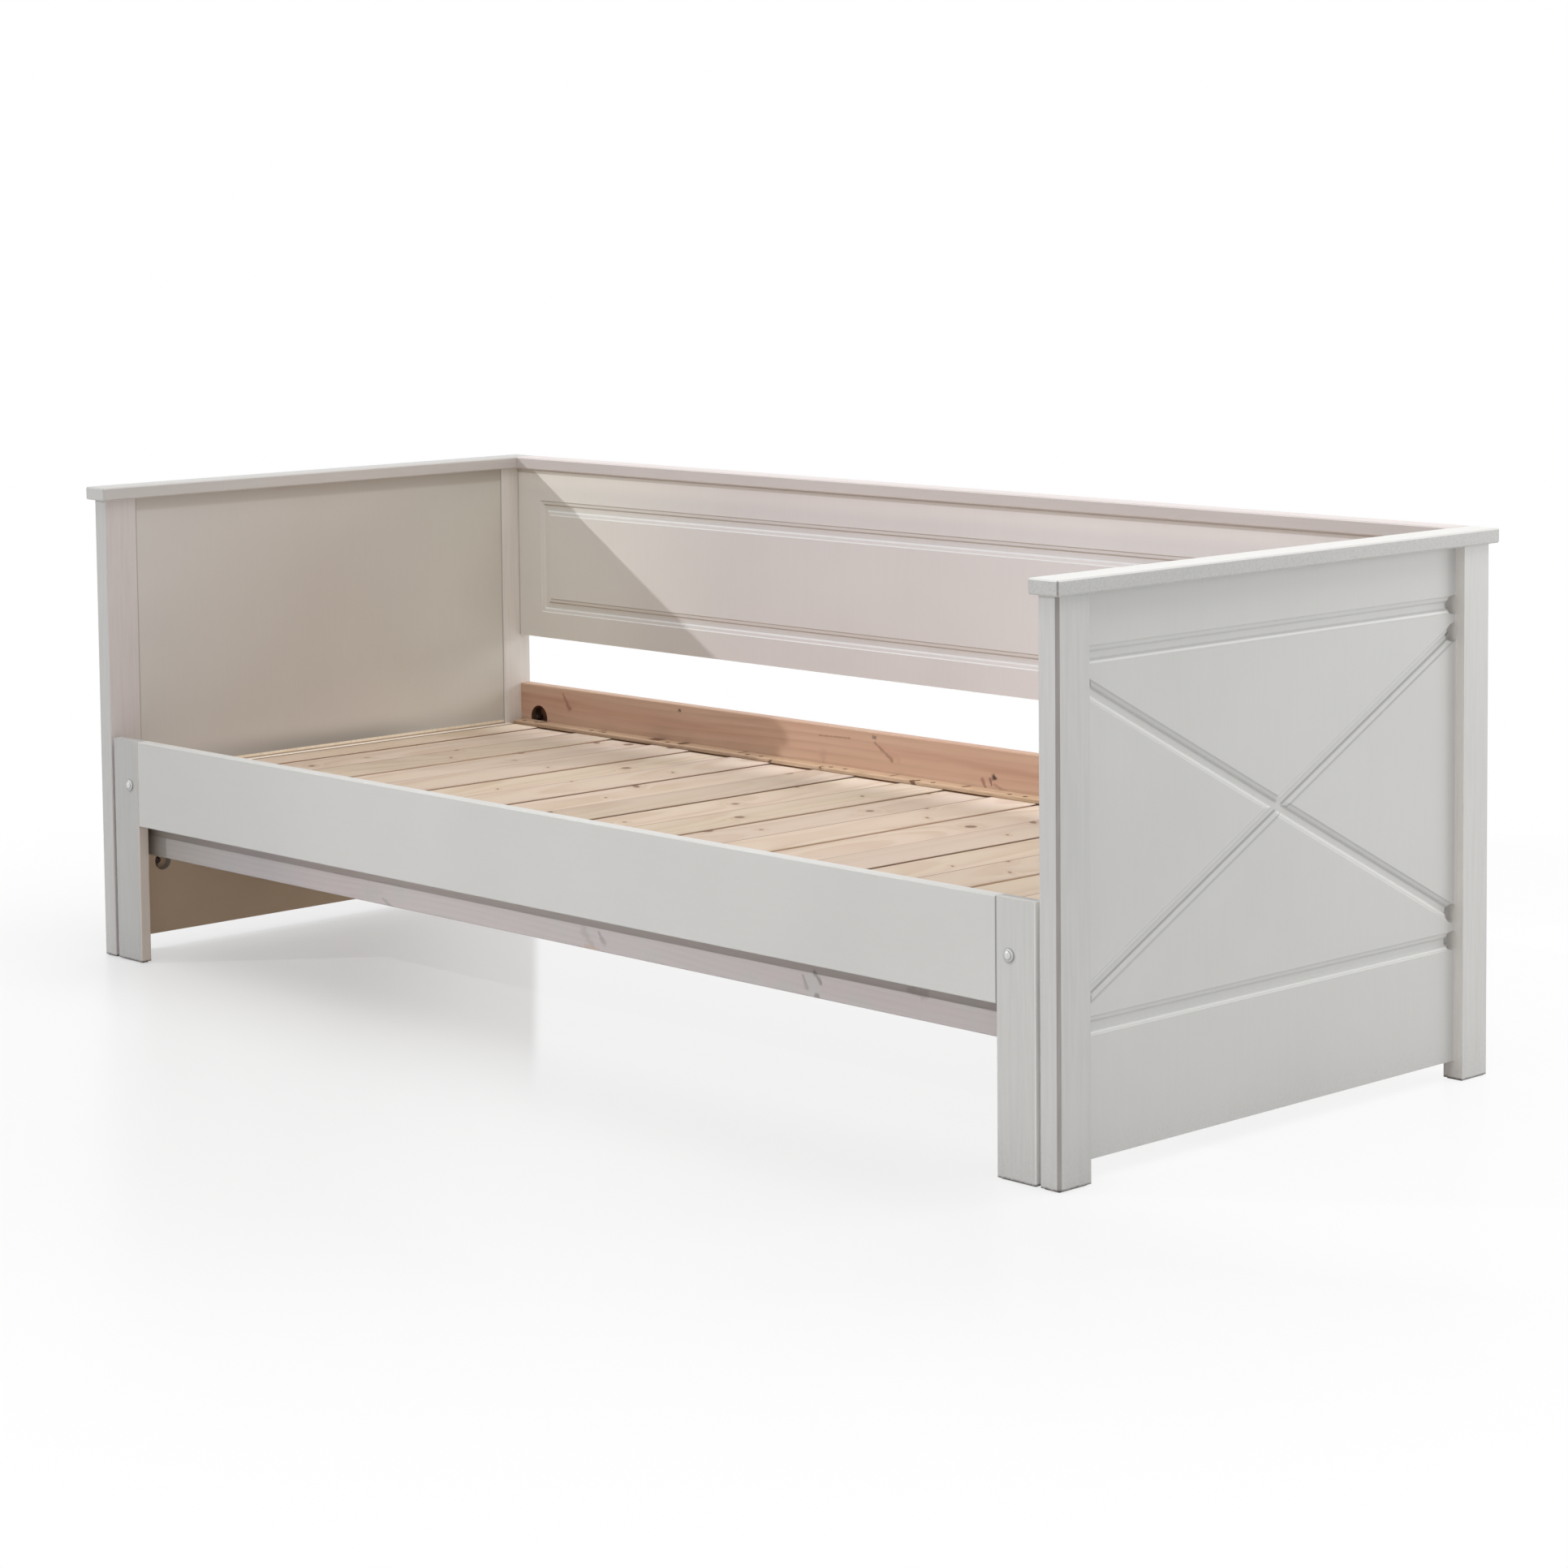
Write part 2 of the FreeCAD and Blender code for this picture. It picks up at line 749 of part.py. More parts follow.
bolt = right_leg_bolt()
nut = right_leg_nut()
leg_drills = both_ends(bolt) + both_ends(nut)
write("front_rail", [drilled(front_rail(), leg_drills)])
leg = drilled(right_leg(), leg_drills)
write("right_leg", [leg])
write("left_leg", [mirrored(leg)])
write("front_slat_cleat", [front_slat_cleat()])
write("moving_slats", moving_slats())
write("stop_batten", [stop_batten()])
write("leg_bolts", both_ends(bolt))
write("leg_nuts", both_ends(nut.cut(bolt)))
write("leg_glides", leg_glides())
print("travel of the pull-out front:", travel)
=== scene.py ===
import math

import bpy
from mathutils import Matrix, Vector


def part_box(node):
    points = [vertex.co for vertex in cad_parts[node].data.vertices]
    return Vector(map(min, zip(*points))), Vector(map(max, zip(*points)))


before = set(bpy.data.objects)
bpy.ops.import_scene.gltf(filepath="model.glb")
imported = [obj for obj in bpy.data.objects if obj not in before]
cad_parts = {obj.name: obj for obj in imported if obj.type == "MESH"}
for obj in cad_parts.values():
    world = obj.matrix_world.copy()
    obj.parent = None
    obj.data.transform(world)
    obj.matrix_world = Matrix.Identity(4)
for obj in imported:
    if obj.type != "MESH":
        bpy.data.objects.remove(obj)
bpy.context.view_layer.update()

bl_info = {
    "name": "Pull-out daybed",
    "version": (1, 0, 0),
    "blender": (4, 5, 0),
    "location": "View3D > Sidebar > Daybed",
    "description": "Finishes the boards of a pull-out daybed and adds its small fittings",
    "category": "Object",
}

PANEL_NODES = ("left_end_panel", "right_end_panel")
SLAT_NODES = ("fixed_slats", "end_slats", "side_strips", "moving_slats")
BARE_PINE_NODES = ("rear_slat_cleat", "front_slat_cleat", "stop_batten", "frame_dowels", "cap_dowels")
REAR_POSTS = ("right_rear_post", "left_rear_post")
STEEL_NODES = ("hold_down_screws", "connector_studs", "crescent_washers", "connector_nuts", "leg_nuts")
GLIDE_NODES = ("post_glides", "leg_glides")

# Sizes of the boards' details, in metres
POST_CHAMFER = 0.004
GROOVE_DROP = 0.0795
GROOVE_RISE = 0.1655
DIAGONAL_SPACING = 0.034
SLAT_HALF_WIDTH = 0.0475
SIDE_STRIP_WIDTH = 0.015
BOLT_INSET = 0.043
RECESS_INSET = 0.048
RECESS_DROP = 0.057
RECESS_RADIUS = 0.021
BATTEN_HEIGHT = 0.006
BROWN_EDGE_BELOW_DECK = 0.004
FRONT_RAIL_SHADE_HEIGHT = 0.0322

# The outermost moving slat, counted from the slat in the middle
OUTERMOST_SLAT = 9

# Places on the boards that the finishes follow
PANEL_LOW, PANEL_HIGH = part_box("left_end_panel")
BACK_RAIL_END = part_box("back_rail")[1]
BOLTS_LOW, BOLTS_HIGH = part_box("leg_bolts")
POST_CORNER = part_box("right_front_post")[1].x - POST_CHAMFER
GROOVE_LEVELS = (PANEL_HIGH.z - GROOVE_DROP, PANEL_LOW.z + GROOVE_RISE)
GROOVE_CROSSING = sum(GROOVE_LEVELS) / 2
GROOVE_SLOPE = (GROOVE_LEVELS[0] - GROOVE_LEVELS[1] - 2 * DIAGONAL_SPACING) / (PANEL_HIGH.y - PANEL_LOW.y)
SLAT_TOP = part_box("fixed_slats")[1].z
SLAT_PITCH = (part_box("moving_slats")[1].x - SLAT_HALF_WIDTH) / OUTERMOST_SLAT
STRIP_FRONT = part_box("slat_hold_down_strip")[0].y
SIDE_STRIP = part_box("side_strips")[1].x - SIDE_STRIP_WIDTH
BOLT_PLACE = (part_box("right_leg")[1].x - BOLT_INSET, (BOLTS_LOW.z + BOLTS_HIGH.z) / 2)
RECESS_PLACE = (BACK_RAIL_END.x - RECESS_INSET, BACK_RAIL_END.z - RECESS_DROP)
BATTEN_TOP = SLAT_TOP + BATTEN_HEIGHT
BROWN_BELOW = SLAT_TOP - BROWN_EDGE_BELOW_DECK
SHADE_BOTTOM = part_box("inner_front_rail")[0].z + FRONT_RAIL_SHADE_HEIGHT

# Where each lamp stands and the way it points, and the rest of the stage
KEY_LAMP = ((-4.03, -4.33, 2.64), (0.80, 1.0, -0.48))
TOP_LAMP = ((0.0, 0.0, 4.0), (-0.13, -0.05, -1.0))
SIDE_LAMP = ((2.2, 2.3, 1.0), (-1.17, -2.3, -0.5))
FRONT_LAMP = ((1.0, -3.3, 1.5), (-0.1, 1.0, -0.34))
TOP_SPREAD = math.radians(70.0)
SENSOR_WIDTH = 36.0
FLOOR_WIDTH = 80.0
FLOOR_WHITE = (0.68, 0.68, 0.68)
WHITE = (1.0, 1.0, 1.0)

# Which way the grain runs: the share of each axis, short along the boards
UPRIGHT_GRAIN = (1.0, 1.0, 0.05)
LEVEL_GRAIN = (0.05, 1.0, 1.0)
DEEP_GRAIN = (1.0, 0.05, 1.0)

# Colours of the painted light and shade on the paint, of the brown low inner faces and of the painted batten
ARRIS_SHADE = (0.250, 0.215, 0.205)
FOOT_SHADE = (0.075, 0.060, 0.050)
EAVES_SHADE = (0.300, 0.245, 0.185)
MOULDING_SHADE = (0.330, 0.265, 0.205)
MOULDING_HIGHLIGHT = (0.900, 0.930, 0.950)
UNDER_EAVES_LIGHT = (1.14, 1.13, 1.12)
CONTACT_SHADE = (0.110, 0.100, 0.088)
LOW_INNER_BROWN = ((0.760, 0.560, 0.380), (0.820, 0.620, 0.430))
BATTEN_WOOD_AND_LIGHT = ((0.900, 0.800, 0.660), (0.820, 0.690, 0.530))
BATTEN_FOOT = (0.480, 0.340, 0.230)

# Colours of the painted light and shade on the pine, and of its greyish patches
DECK_REAR_LIGHT = (1.54, 1.62, 1.74)
END_SLAT_LIGHT = (1.17, 1.17, 1.13)
SIDE_STRIP_WOOD_AND_LIGHT = (0.900, 0.800, 0.680)
SLAT_EDGE_SHADE = (0.290, 0.195, 0.150)
SLAT_FLANK_SHADES = ((0.240, 0.150, 0.100), (0.600, 0.420, 0.310))
JOINT_TIP_SHADE = (0.110, 0.060, 0.040)
SEAM_SHADE = (0.200, 0.130, 0.090)
UNDER_STRIP_SHADE = (0.450, 0.280, 0.170)
RECESS_SHADE = (0.120, 0.035, 0.015)
GREYISH_TINT = (0.93, 1.02, 0.99)
COOL_SHADE = (1.0, 0.975, 0.93)

# Places along the bed, and the tint there that paints light and shade on the boards
INNER_RAIL_LIGHT_ALONG = (
    (-0.985, (0.64, 0.58, 0.47)), (-0.90, (0.63, 0.63, 0.60)), (-0.68, (0.76, 0.765, 0.785)),
    (-0.45, (0.92, 0.90, 0.90)), (-0.25, (1.0, 1.0, 1.0)), (0.90, (0.95, 0.95, 0.95)))
STRIP_LIGHT_ALONG = ((-0.40, (1.0, 1.0, 1.0)), (-0.28, (1.20, 1.22, 1.22)))
FRONT_RAIL_LIGHT_ALONG = ((-0.95, (0.86, 0.86, 0.86)), (-0.15, (0.99, 0.99, 0.99)))
BACK_PANEL_LIGHT_ALONG = (
    (-0.90, (1.28, 1.25, 1.20)), (-0.35, (1.09, 1.03, 1.06)), (0.55, (1.24, 1.19, 1.23)))

# Painted light and shade across a groove of the end panels: offset from its middle, half width, painted
# highlight (+) or painted shade (-)
LEVEL_MARKS = (
    (-0.0090, 0.0017, 0.42), (-0.0055, 0.0017, -0.24), (0.0042, 0.0015, -0.06), (0.0110, 0.0018, -0.06))
RISING_MARKS = ((-0.0118, 0.0018, -0.42), (-0.0036, 0.0022, -0.60), (0.0080, 0.0022, 0.12))
FALLING_MARKS = (
    (0.0040, 0.0018, -0.18), (0.0075, 0.0042, -0.13), (0.0108, 0.0016, -0.14), (-0.0072, 0.0024, 0.28))
CROSSING_REACH = (0.0035, 0.0070)

# Knots and cracks of the rails: where each tapered streak starts and ends (x, z), its half width
# at both ends, its colour and how strongly it shows
BACK_RAIL_MARKS = (
    ((-0.886, 0.346), (-0.869, 0.322), (0.0013, 0.0038), (0.330, 0.150, 0.120), 0.75),
    ((-0.130, 0.340), (-0.092, 0.316), (0.0013, 0.0027), (0.330, 0.190, 0.130), 0.80),
    ((-0.114, 0.337), (-0.078, 0.318), (0.0016, 0.0045), (0.560, 0.330, 0.250), 0.60),
    ((-0.255, 0.339), (-0.186, 0.341), (0.0009, 0.0011), (0.300, 0.170, 0.110), 0.60),
    ((-0.247, 0.309), (-0.246, 0.292), (0.0067, 0.0018), (0.450, 0.300, 0.220), 0.40),
    ((0.126, 0.313), (0.130, 0.312), (0.0034, 0.0024), (0.050, 0.025, 0.018), 0.95),
    ((0.102, 0.307), (0.112, 0.291), (0.0024, 0.0013), (0.300, 0.150, 0.110), 0.75),
    ((0.119, 0.309), (0.122, 0.300), (0.0022, 0.0013), (0.200, 0.095, 0.070), 0.80),
    ((0.128, 0.302), (0.160, 0.288), (0.0016, 0.0034), (0.400, 0.230, 0.170), 0.65),
    ((-0.589, 0.347), (-0.586, 0.347), (0.0022, 0.0022), (0.120, 0.060, 0.040), 0.80),
    ((-0.133, 0.348), (-0.129, 0.348), (0.0022, 0.0022), (0.200, 0.150, 0.120), 0.80),
)
INNER_RAIL_MARKS = (
    ((-0.381, 0.180), (-0.350, 0.186), (0.0101, 0.0045), (0.470, 0.470, 0.450), 0.45),
    ((-0.345, 0.176), (-0.322, 0.163), (0.0013, 0.0034), (0.330, 0.320, 0.300), 0.65),
    ((0.110, 0.190), (0.128, 0.172), (0.0056, 0.0029), (0.390, 0.350, 0.330), 0.45),
    ((0.141, 0.192), (0.152, 0.180), (0.0018, 0.0034), (0.340, 0.300, 0.310), 0.65),
    ((0.112, 0.171), (0.140, 0.169), (0.0020, 0.0013), (0.560, 0.400, 0.300), 0.60),
    ((0.548, 0.193), (0.556, 0.177), (0.0011, 0.0029), (0.330, 0.310, 0.300), 0.75),
    ((0.571, 0.199), (0.582, 0.187), (0.0029, 0.0020), (0.260, 0.250, 0.240), 0.80),
    ((0.563, 0.190), (0.572, 0.172), (0.0056, 0.0079), (0.500, 0.510, 0.500), 0.60),
    ((0.573, 0.169), (0.577, 0.168), (0.0027, 0.0027), (0.240, 0.200, 0.190), 0.70),
    ((0.744, 0.203), (0.770, 0.201), (0.0034, 0.0056), (0.260, 0.220, 0.190), 0.35),
)


# ------------------------------------------------------------------ sizes and colours

def colour_property(name, description, default):
    return bpy.props.FloatVectorProperty(
        name=name, description=description, default=default,
        subtype="COLOR", size=3, min=0.0, max=1.0)


def length_property(name, description, default):
    return bpy.props.FloatProperty(
        name=name, description=description, default=default, unit="LENGTH", min=0.0)


def angle_property(name, description, default):
    return bpy.props.FloatProperty(
        name=name, description=description, default=default, subtype="ANGLE")


class DaybedFinish(bpy.types.PropertyGroup):
    """Colours of the boards, and the spacing of their grain and knots."""

    paint: colour_property("Paint", "Solid off-white paint", (0.590, 0.584, 0.568))
    slat_light: colour_property("Slat light", "Early wood of the pale slats", (0.520, 0.430, 0.325))
    slat_blush: colour_property("Slat blush", "Pinkish sapwood of the pale slats", (0.545, 0.435, 0.365))
    slat_dark: colour_property("Slat dark", "Late wood of the pale slats", (0.350, 0.225, 0.135))
    pine_light: colour_property("Pine light", "Early wood of the bare rails", (0.680, 0.500, 0.375))
    pine_blush: colour_property("Pine blush", "Pinkish bands of the bare rails", (0.600, 0.375, 0.275))
    pine_dark: colour_property("Pine dark", "Late wood of the bare rails", (0.350, 0.190, 0.120))
    strip_light: colour_property("Strip light", "Early wood of the strip on the slats", (0.520, 0.355, 0.215))
    strip_dark: colour_property("Strip dark", "Late wood of the strip on the slats", (0.360, 0.215, 0.110))
    wash_light: colour_property("Wash light", "White-washed pine", (0.575, 0.530, 0.525))
    wash_blush: colour_property("Wash blush", "Pinkish bands under the wash", (0.560, 0.495, 0.490))
    wash_dark: colour_property("Wash dark", "Grain under the white wash", (0.455, 0.395, 0.380))
    knot: colour_property("Knot", "Heart of a knot", (0.110, 0.055, 0.032))
    rail_knot: colour_property("Rail knot", "Heart of a knot of the bare rails", (0.260, 0.110, 0.060))
    washed_knot: colour_property("Washed knot", "Heart of a knot under the wash", (0.330, 0.245, 0.225))
    slat_pitch: length_property("Slat pitch", "Distance from one slat to the next", SLAT_PITCH)
    slat_knots: length_property("Slat knots", "Typical distance between knots along a slat", 0.16)
    rail_knots: length_property("Rail knots", "Typical distance between knots along a rail", 0.27)


class DaybedStage(bpy.types.PropertyGroup):
    """Camera and light around the bed."""

    camera_x: length_property("Camera right", "Distance of the camera to the right", 4.1587)
    camera_y: length_property("Camera front", "Distance of the camera in front", 3.8339)
    camera_z: length_property("Camera height", "Height of the camera above the floor", 1.2483)
    turn: angle_property("Turn", "Turn of the camera to the left", math.radians(46.62))
    tilt: angle_property("Tilt", "Tilt of the camera below the horizon", math.radians(4.796))
    roll: angle_property("Roll", "Roll of the camera about its own axis", math.radians(-0.566))
    lens: bpy.props.FloatProperty(
        name="Lens", description="Focal length on a 36 mm wide sensor", default=89.16,
        unit="CAMERA")
    shift: bpy.props.FloatProperty(
        name="Shift", description="Vertical shift of the lens", default=-0.189)
    key_strength: bpy.props.FloatProperty(
        name="Key", description="Strength of the lamp at the front left", default=12.4)
    key_size: length_property("Key size", "Radius of the key lamp", 0.035)
    top_strength: bpy.props.FloatProperty(
        name="Top", description="Strength of the soft light from above", default=2.2)
    side_strength: bpy.props.FloatProperty(
        name="Side", description="Power of the lamp at the right", default=19.0)
    front_strength: bpy.props.FloatProperty(
        name="Front", description="Power of the soft lamp in front", default=4.6)
    ambient: bpy.props.FloatProperty(
        name="Ambient", description="Strength of the light from all round", default=0.46)


# ------------------------------------------------------------------ node helpers

class Nodes:
    """Adds nodes to a node tree and joins them up."""

    def __init__(self, tree):
        self.tree = tree

    def connect(self, source, socket):
        if isinstance(source, bpy.types.NodeSocket):
            self.tree.links.new(source, socket)
        elif isinstance(source, (tuple, list)) and socket.type == "RGBA" and len(source) == 3:
            socket.default_value = (*source, 1.0)
        else:
            socket.default_value = source

    def add(self, kind, inputs=None, **settings):
        made = self.tree.nodes.new(kind)
        for name, value in settings.items():
            setattr(made, name, value)
        for name, value in (inputs or {}).items():
            self.connect(value, made.inputs[name])
        return made

    def math(self, operation, first, second=0.0, third=0.0, clamp=False):
        made = self.add("ShaderNodeMath", operation=operation, use_clamp=clamp)
        for socket, value in zip(made.inputs, (first, second, third)):
            self.connect(value, socket)
        return made.outputs[0]

    def product(self, first, *others):
        for value in others:
            first = self.math("MULTIPLY", first, value)
        return first

    def distance(self, value, place):
        """How far value is from place, whichever way."""
        return self.math("ABSOLUTE", self.math("SUBTRACT", value, place))

    def vector(self, operation, first, second=(0.0, 0.0, 0.0)):
        made = self.add("ShaderNodeVectorMath", operation=operation)
        self.connect(first, made.inputs[0])
        self.connect(second, made.inputs["Scale" if operation == "SCALE" else 1])
        return made.outputs["Value"] if operation in ("LENGTH", "DOT_PRODUCT") else made.outputs[0]

    def split(self, source):
        return self.add("ShaderNodeSeparateXYZ", {"Vector": source}).outputs

    def join(self, x, y, z=0.0):
        return self.add("ShaderNodeCombineXYZ", {"X": x, "Y": y, "Z": z}).outputs[0]

    def noise(self, place, scale, detail=2.0, roughness=0.5):
        inputs = {"Vector": place, "Scale": scale, "Detail": detail, "Roughness": roughness}
        return self.add("ShaderNodeTexNoise", inputs).outputs["Fac"]

    def between(self, value, low, high, out_low=0.0, out_high=1.0, smooth=True):
        """out_low where value is at low, out_high where it is at high, and in between a ramp."""
        inputs = {
            "Value": value, "From Min": low, "From Max": high,
            "To Min": out_low, "To Max": out_high}
        kind = "SMOOTHSTEP" if smooth else "LINEAR"
        return self.add("ShaderNodeMapRange", inputs, interpolation_type=kind).outputs["Result"]

    def mix(self, amount, first, second, blend="MIX"):
        made = self.add("ShaderNodeMix", data_type="RGBA", blend_type=blend)
        self.connect(amount, made.inputs["Factor"])
        self.connect(first, made.inputs["A"])
        self.connect(second, made.inputs["B"])
        return made.outputs["Result"]

    def bump(self, height, strength, distance):
        inputs = {"Height": height, "Strength": strength, "Distance": distance}
        return self.add("ShaderNodeBump", inputs).outputs["Normal"]


# ------------------------------------------------------------------ finishes

def tuned(colour, factor):
    return tuple(channel * factor for channel in colour)


class Finish(Nodes):
    """A material whose colour is built up in layers, each laid over what is there already."""

    def __init__(self, name):
        self.material = bpy.data.materials.new(name)
        self.material.use_nodes = True
        super().__init__(self.material.node_tree)
        self.surface = self.tree.nodes["Principled BSDF"]
        self.colour = WHITE
        coordinates = self.add("ShaderNodeTexCoord")
        self.place = coordinates.outputs["Object"]
        self.x, self.y, self.z = self.split(self.place)
        self.face_x, self.face_y, self.face_z = self.split(coordinates.outputs["Normal"])

    def lay(self, amount, colour):
        """Cover the colour with another one, as far as amount says."""
        self.colour = self.mix(amount, self.colour, colour)

    def tint(self, amount, factors):
        """Multiply the colour by factors, as far as amount says."""
        self.lay(amount, self.mix(1.0, self.colour, factors, "MULTIPLY"))

    def paint_light_along(self, steps):
        """Paint light and shade along the bed: steps lists places and the tint there that stands for the
        light.
        """
        tint = steps[0][1]
        for (start, _), (end, last) in zip(steps, steps[1:]):
            tint = self.mix(self.between(self.x, start, end), tint, last)
        self.colour = self.mix(1.0, self.colour, tint, "MULTIPLY")

    def from_centre(self, centre, drop=0.0):
        """How far a point of an upright face is from a centre that both ends of the bed have."""
        aside = self.math("SUBTRACT", self.math("ABSOLUTE", self.x), centre[0])
        above = self.math("SUBTRACT", self.z, centre[1] - drop)
        return self.vector("LENGTH", self.join(aside, above))

    def complete(self, roughness, normal=None, **values):
        """Set the colour, and the gloss and relief, on the surface."""
        for name, value in dict(values, **{"Base Color": self.colour, "Roughness": roughness}).items():
            self.connect(value, self.surface.inputs[name])
        if normal is not None:
            self.connect(normal, self.surface.inputs["Normal"])
        return self.material


class PaintedBoard(Finish):
    """Sprayed satin paint with faint board grain, with painted shade on the upright arrises at the bed's ends
    and just above the floor.

    grain_way is short along the grain, and mottle is how strongly the coat is speckled."""

    def __init__(self, name, coat, grain_way=UPRIGHT_GRAIN, grain_show=0.10, grain_scale=170.0, mottle=0.0):
        super().__init__(name)
        self.coat = coat
        self.grain = self.noise(self.vector("MULTIPLY", self.place, grain_way), grain_scale, 3.0, 0.6)
        self.cloud = self.noise(self.place, 3.2, 3.0, 0.55)
        self.colour = self.mix(self.between(self.cloud, 0.3, 0.7), tuned(coat, 0.98), tuned(coat, 1.02))
        self.lay(self.product(self.between(self.grain, 0.38, 0.68), grain_show), tuned(coat, 0.86))
        speckle = self.between(self.noise(self.place, 260.0, 4.0, 0.7), 0.40, 0.70)
        worn = self.between(self.z, 0.075, 0.030, mottle, max(mottle, 0.14))
        self.lay(self.product(speckle, worn), tuned(coat, 0.55))
        self.outward = self.product(self.math("SIGN", self.x), self.face_x)
        away_from_middle = self.product(self.math("SIGN", self.y), self.face_y)
        self.inner = self.math(
            "MAXIMUM", self.between(self.outward, -0.5, -0.8), self.between(away_from_middle, -0.5, -0.8))

    def paint_light_on_top(self, share):
        """Painted light on the level tops."""
        self.lay(self.between(self.face_z, 0.5, 0.8), tuned(self.coat, share))

    def paint_light_on_flank(self, share):
        """Painted light on the sides that look out past the bed's ends."""
        self.lay(self.between(self.outward, 0.5, 0.8), tuned(self.coat, share))

    def paint_light_inner(self, factors):
        """Painted light on the faces that look into the bed, more toward the rear."""
        self.tint(self.product(self.inner, self.between(self.y, -0.45, 0.10, 0.50, 1.0)), factors)

    def paint_light_inner_rear(self, factors):
        """Painted light on the rear half of the faces that look into the bed."""
        self.tint(self.product(self.inner, self.between(self.y, -0.05, 0.34)), factors)

    def shade_bolt(self):
        """Shade the board round the head of the leg bolt, a little more below it."""
        shade = self.between(self.from_centre(BOLT_PLACE, drop=0.0012), 0.0118, 0.0088)
        self.lay(self.product(shade, 0.45), tuned(self.coat, 0.50))

    def brown_low_inner_faces(self, top):
        """Lay a warm brown over the inner faces below top."""
        low = self.product(self.inner, self.between(self.z, top, top - 0.02), 0.90)
        self.lay(low, self.mix(self.between(self.cloud, 0.3, 0.7), *LOW_INNER_BROWN))

    def groove_light_and_shade(self):
        """Painted shade in the corners of the end panel's grooves (below 0) and painted highlights on their
        lips (above 0).
        """
        squareness = math.cos(math.atan(GROOVE_SLOPE))
        diagonals = []
        for slope in (GROOVE_SLOPE, -GROOVE_SLOPE):
            height = self.math("MULTIPLY_ADD", self.y, slope, GROOVE_CROSSING)
            diagonals.append(self.product(self.math("SUBTRACT", self.z, height), squareness))
        rising, falling = diagonals
        lines = [(self.math("SUBTRACT", self.z, level), LEVEL_MARKS, None) for level in GROOVE_LEVELS]
        lines += [(rising, RISING_MARKS, falling), (falling, FALLING_MARKS, rising)]
        total = 0.0
        for offset, marks, crossed in lines:
            own = 0.0
            for place, reach, amount in marks:
                mark = self.between(self.distance(offset, place), reach, reach * 0.3, 0.0, amount)
                own = self.math("ADD", own, mark)
            if crossed:
                own = self.product(own, self.between(self.math("ABSOLUTE", crossed), *CROSSING_REACH))
            total = self.math("ADD", total, own)
        return total

    def paint_groove_light_and_shade(self):
        """Paint the grooves' shade and highlights on the outer faces."""
        marks = self.product(self.groove_light_and_shade(), self.math("SUBTRACT", 1.0, self.inner))
        self.lay(self.math("MULTIPLY", marks, -1.0, clamp=True), tuned(self.coat, 0.40))
        self.lay(self.math("MULTIPLY", marks, 1.0, clamp=True), tuned(self.coat, 1.60))

    def shade_moulding(self):
        """Painted shade on the moulding's faces that look down and painted highlight on those that look up.
        """
        self.lay(self.between(self.face_z, -0.12, -0.45, 0.0, 0.58), MOULDING_SHADE)
        self.lay(self.between(self.face_z, 0.20, 0.50, 0.0, 0.45), MOULDING_HIGHLIGHT)

    def light_under_eaves(self, cap_underside):
        """Painted light on the inner faces, a little, toward the cap over them."""
        lit = self.between(self.z, cap_underside - 0.040, cap_underside - 0.012)
        self.tint(self.product(self.inner, lit), UNDER_EAVES_LIGHT)

    def shade_eaves(self, cap_underside, low, high, strength):
        """Shade of the cap on the inner faces, from low to high below its underside."""
        shade = self.between(self.z, cap_underside - low, cap_underside - high, 0.0, strength)
        self.lay(self.product(self.inner, shade, 0.30), EAVES_SHADE)

    def line_with_batten(self):
        """Paint a pale batten along the deck's end, its wood lightened with painted light, and painted
        contact shade of the deck above it.
        """
        batten = self.product(
            self.between(self.z, BATTEN_TOP + 0.0004, BATTEN_TOP - 0.0004), self.inner,
            self.math("GREATER_THAN", self.z, SLAT_TOP))
        wood = self.mix(self.between(self.grain, 0.35, 0.70), *BATTEN_WOOD_AND_LIGHT)
        foot = self.between(self.z, SLAT_TOP + 0.0022, SLAT_TOP + 0.0012)
        self.lay(batten, self.mix(foot, wood, BATTEN_FOOT))
        touch = self.between(self.z, BATTEN_TOP + 0.050, BATTEN_TOP)
        touch = self.product(
            touch, touch, self.inner, self.math("GREATER_THAN", self.z, BATTEN_TOP),
            self.between(self.y, -0.35, -0.05, 0.20, 0.52), self.between(self.y, 0.06, 0.26, 1.0, 0.30))
        self.lay(touch, CONTACT_SHADE)

    def mark_joint(self, along, edge, on_inner):
        """Painted shade as a dark line where this board meets another at edge, on its inner or its outer
        faces.

        A joint on the inner faces has a painted highlight, a pale line, behind it on the outer ones."""
        line = self.between(self.math("SUBTRACT", edge, self.math("ABSOLUTE", along)), 0.0024, 0.0010)
        outer = self.math("SUBTRACT", 1.0, self.inner)
        self.lay(self.product(line, self.inner if on_inner else outer, 0.58), tuned(self.coat, 0.35))
        if on_inner:
            self.lay(self.product(line, outer, 0.50), tuned(self.coat, 1.30))

    def shade_arrises(self):
        """Painted shade on the upright arrises at the bed's ends, streaked along the grain."""
        slant = self.math("MINIMUM", self.math("ABSOLUTE", self.face_x), self.math("ABSOLUTE", self.face_y))
        corner = self.between(self.math("ABSOLUTE", self.x), POST_CORNER - 0.002, POST_CORNER)
        streaked = self.between(self.grain, 0.2, 0.6, 0.7, 1.0)
        self.lay(self.product(self.between(slant, 0.25, 0.50), streaked, corner, 0.72), ARRIS_SHADE)

    def shade_feet(self):
        """Painted contact shade in a ragged band just above the floor."""
        scuff = self.between(self.math("MULTIPLY_ADD", self.grain, 0.004, self.z), 0.0075, 0.0035)
        self.lay(self.product(scuff, 0.92), FOOT_SHADE)

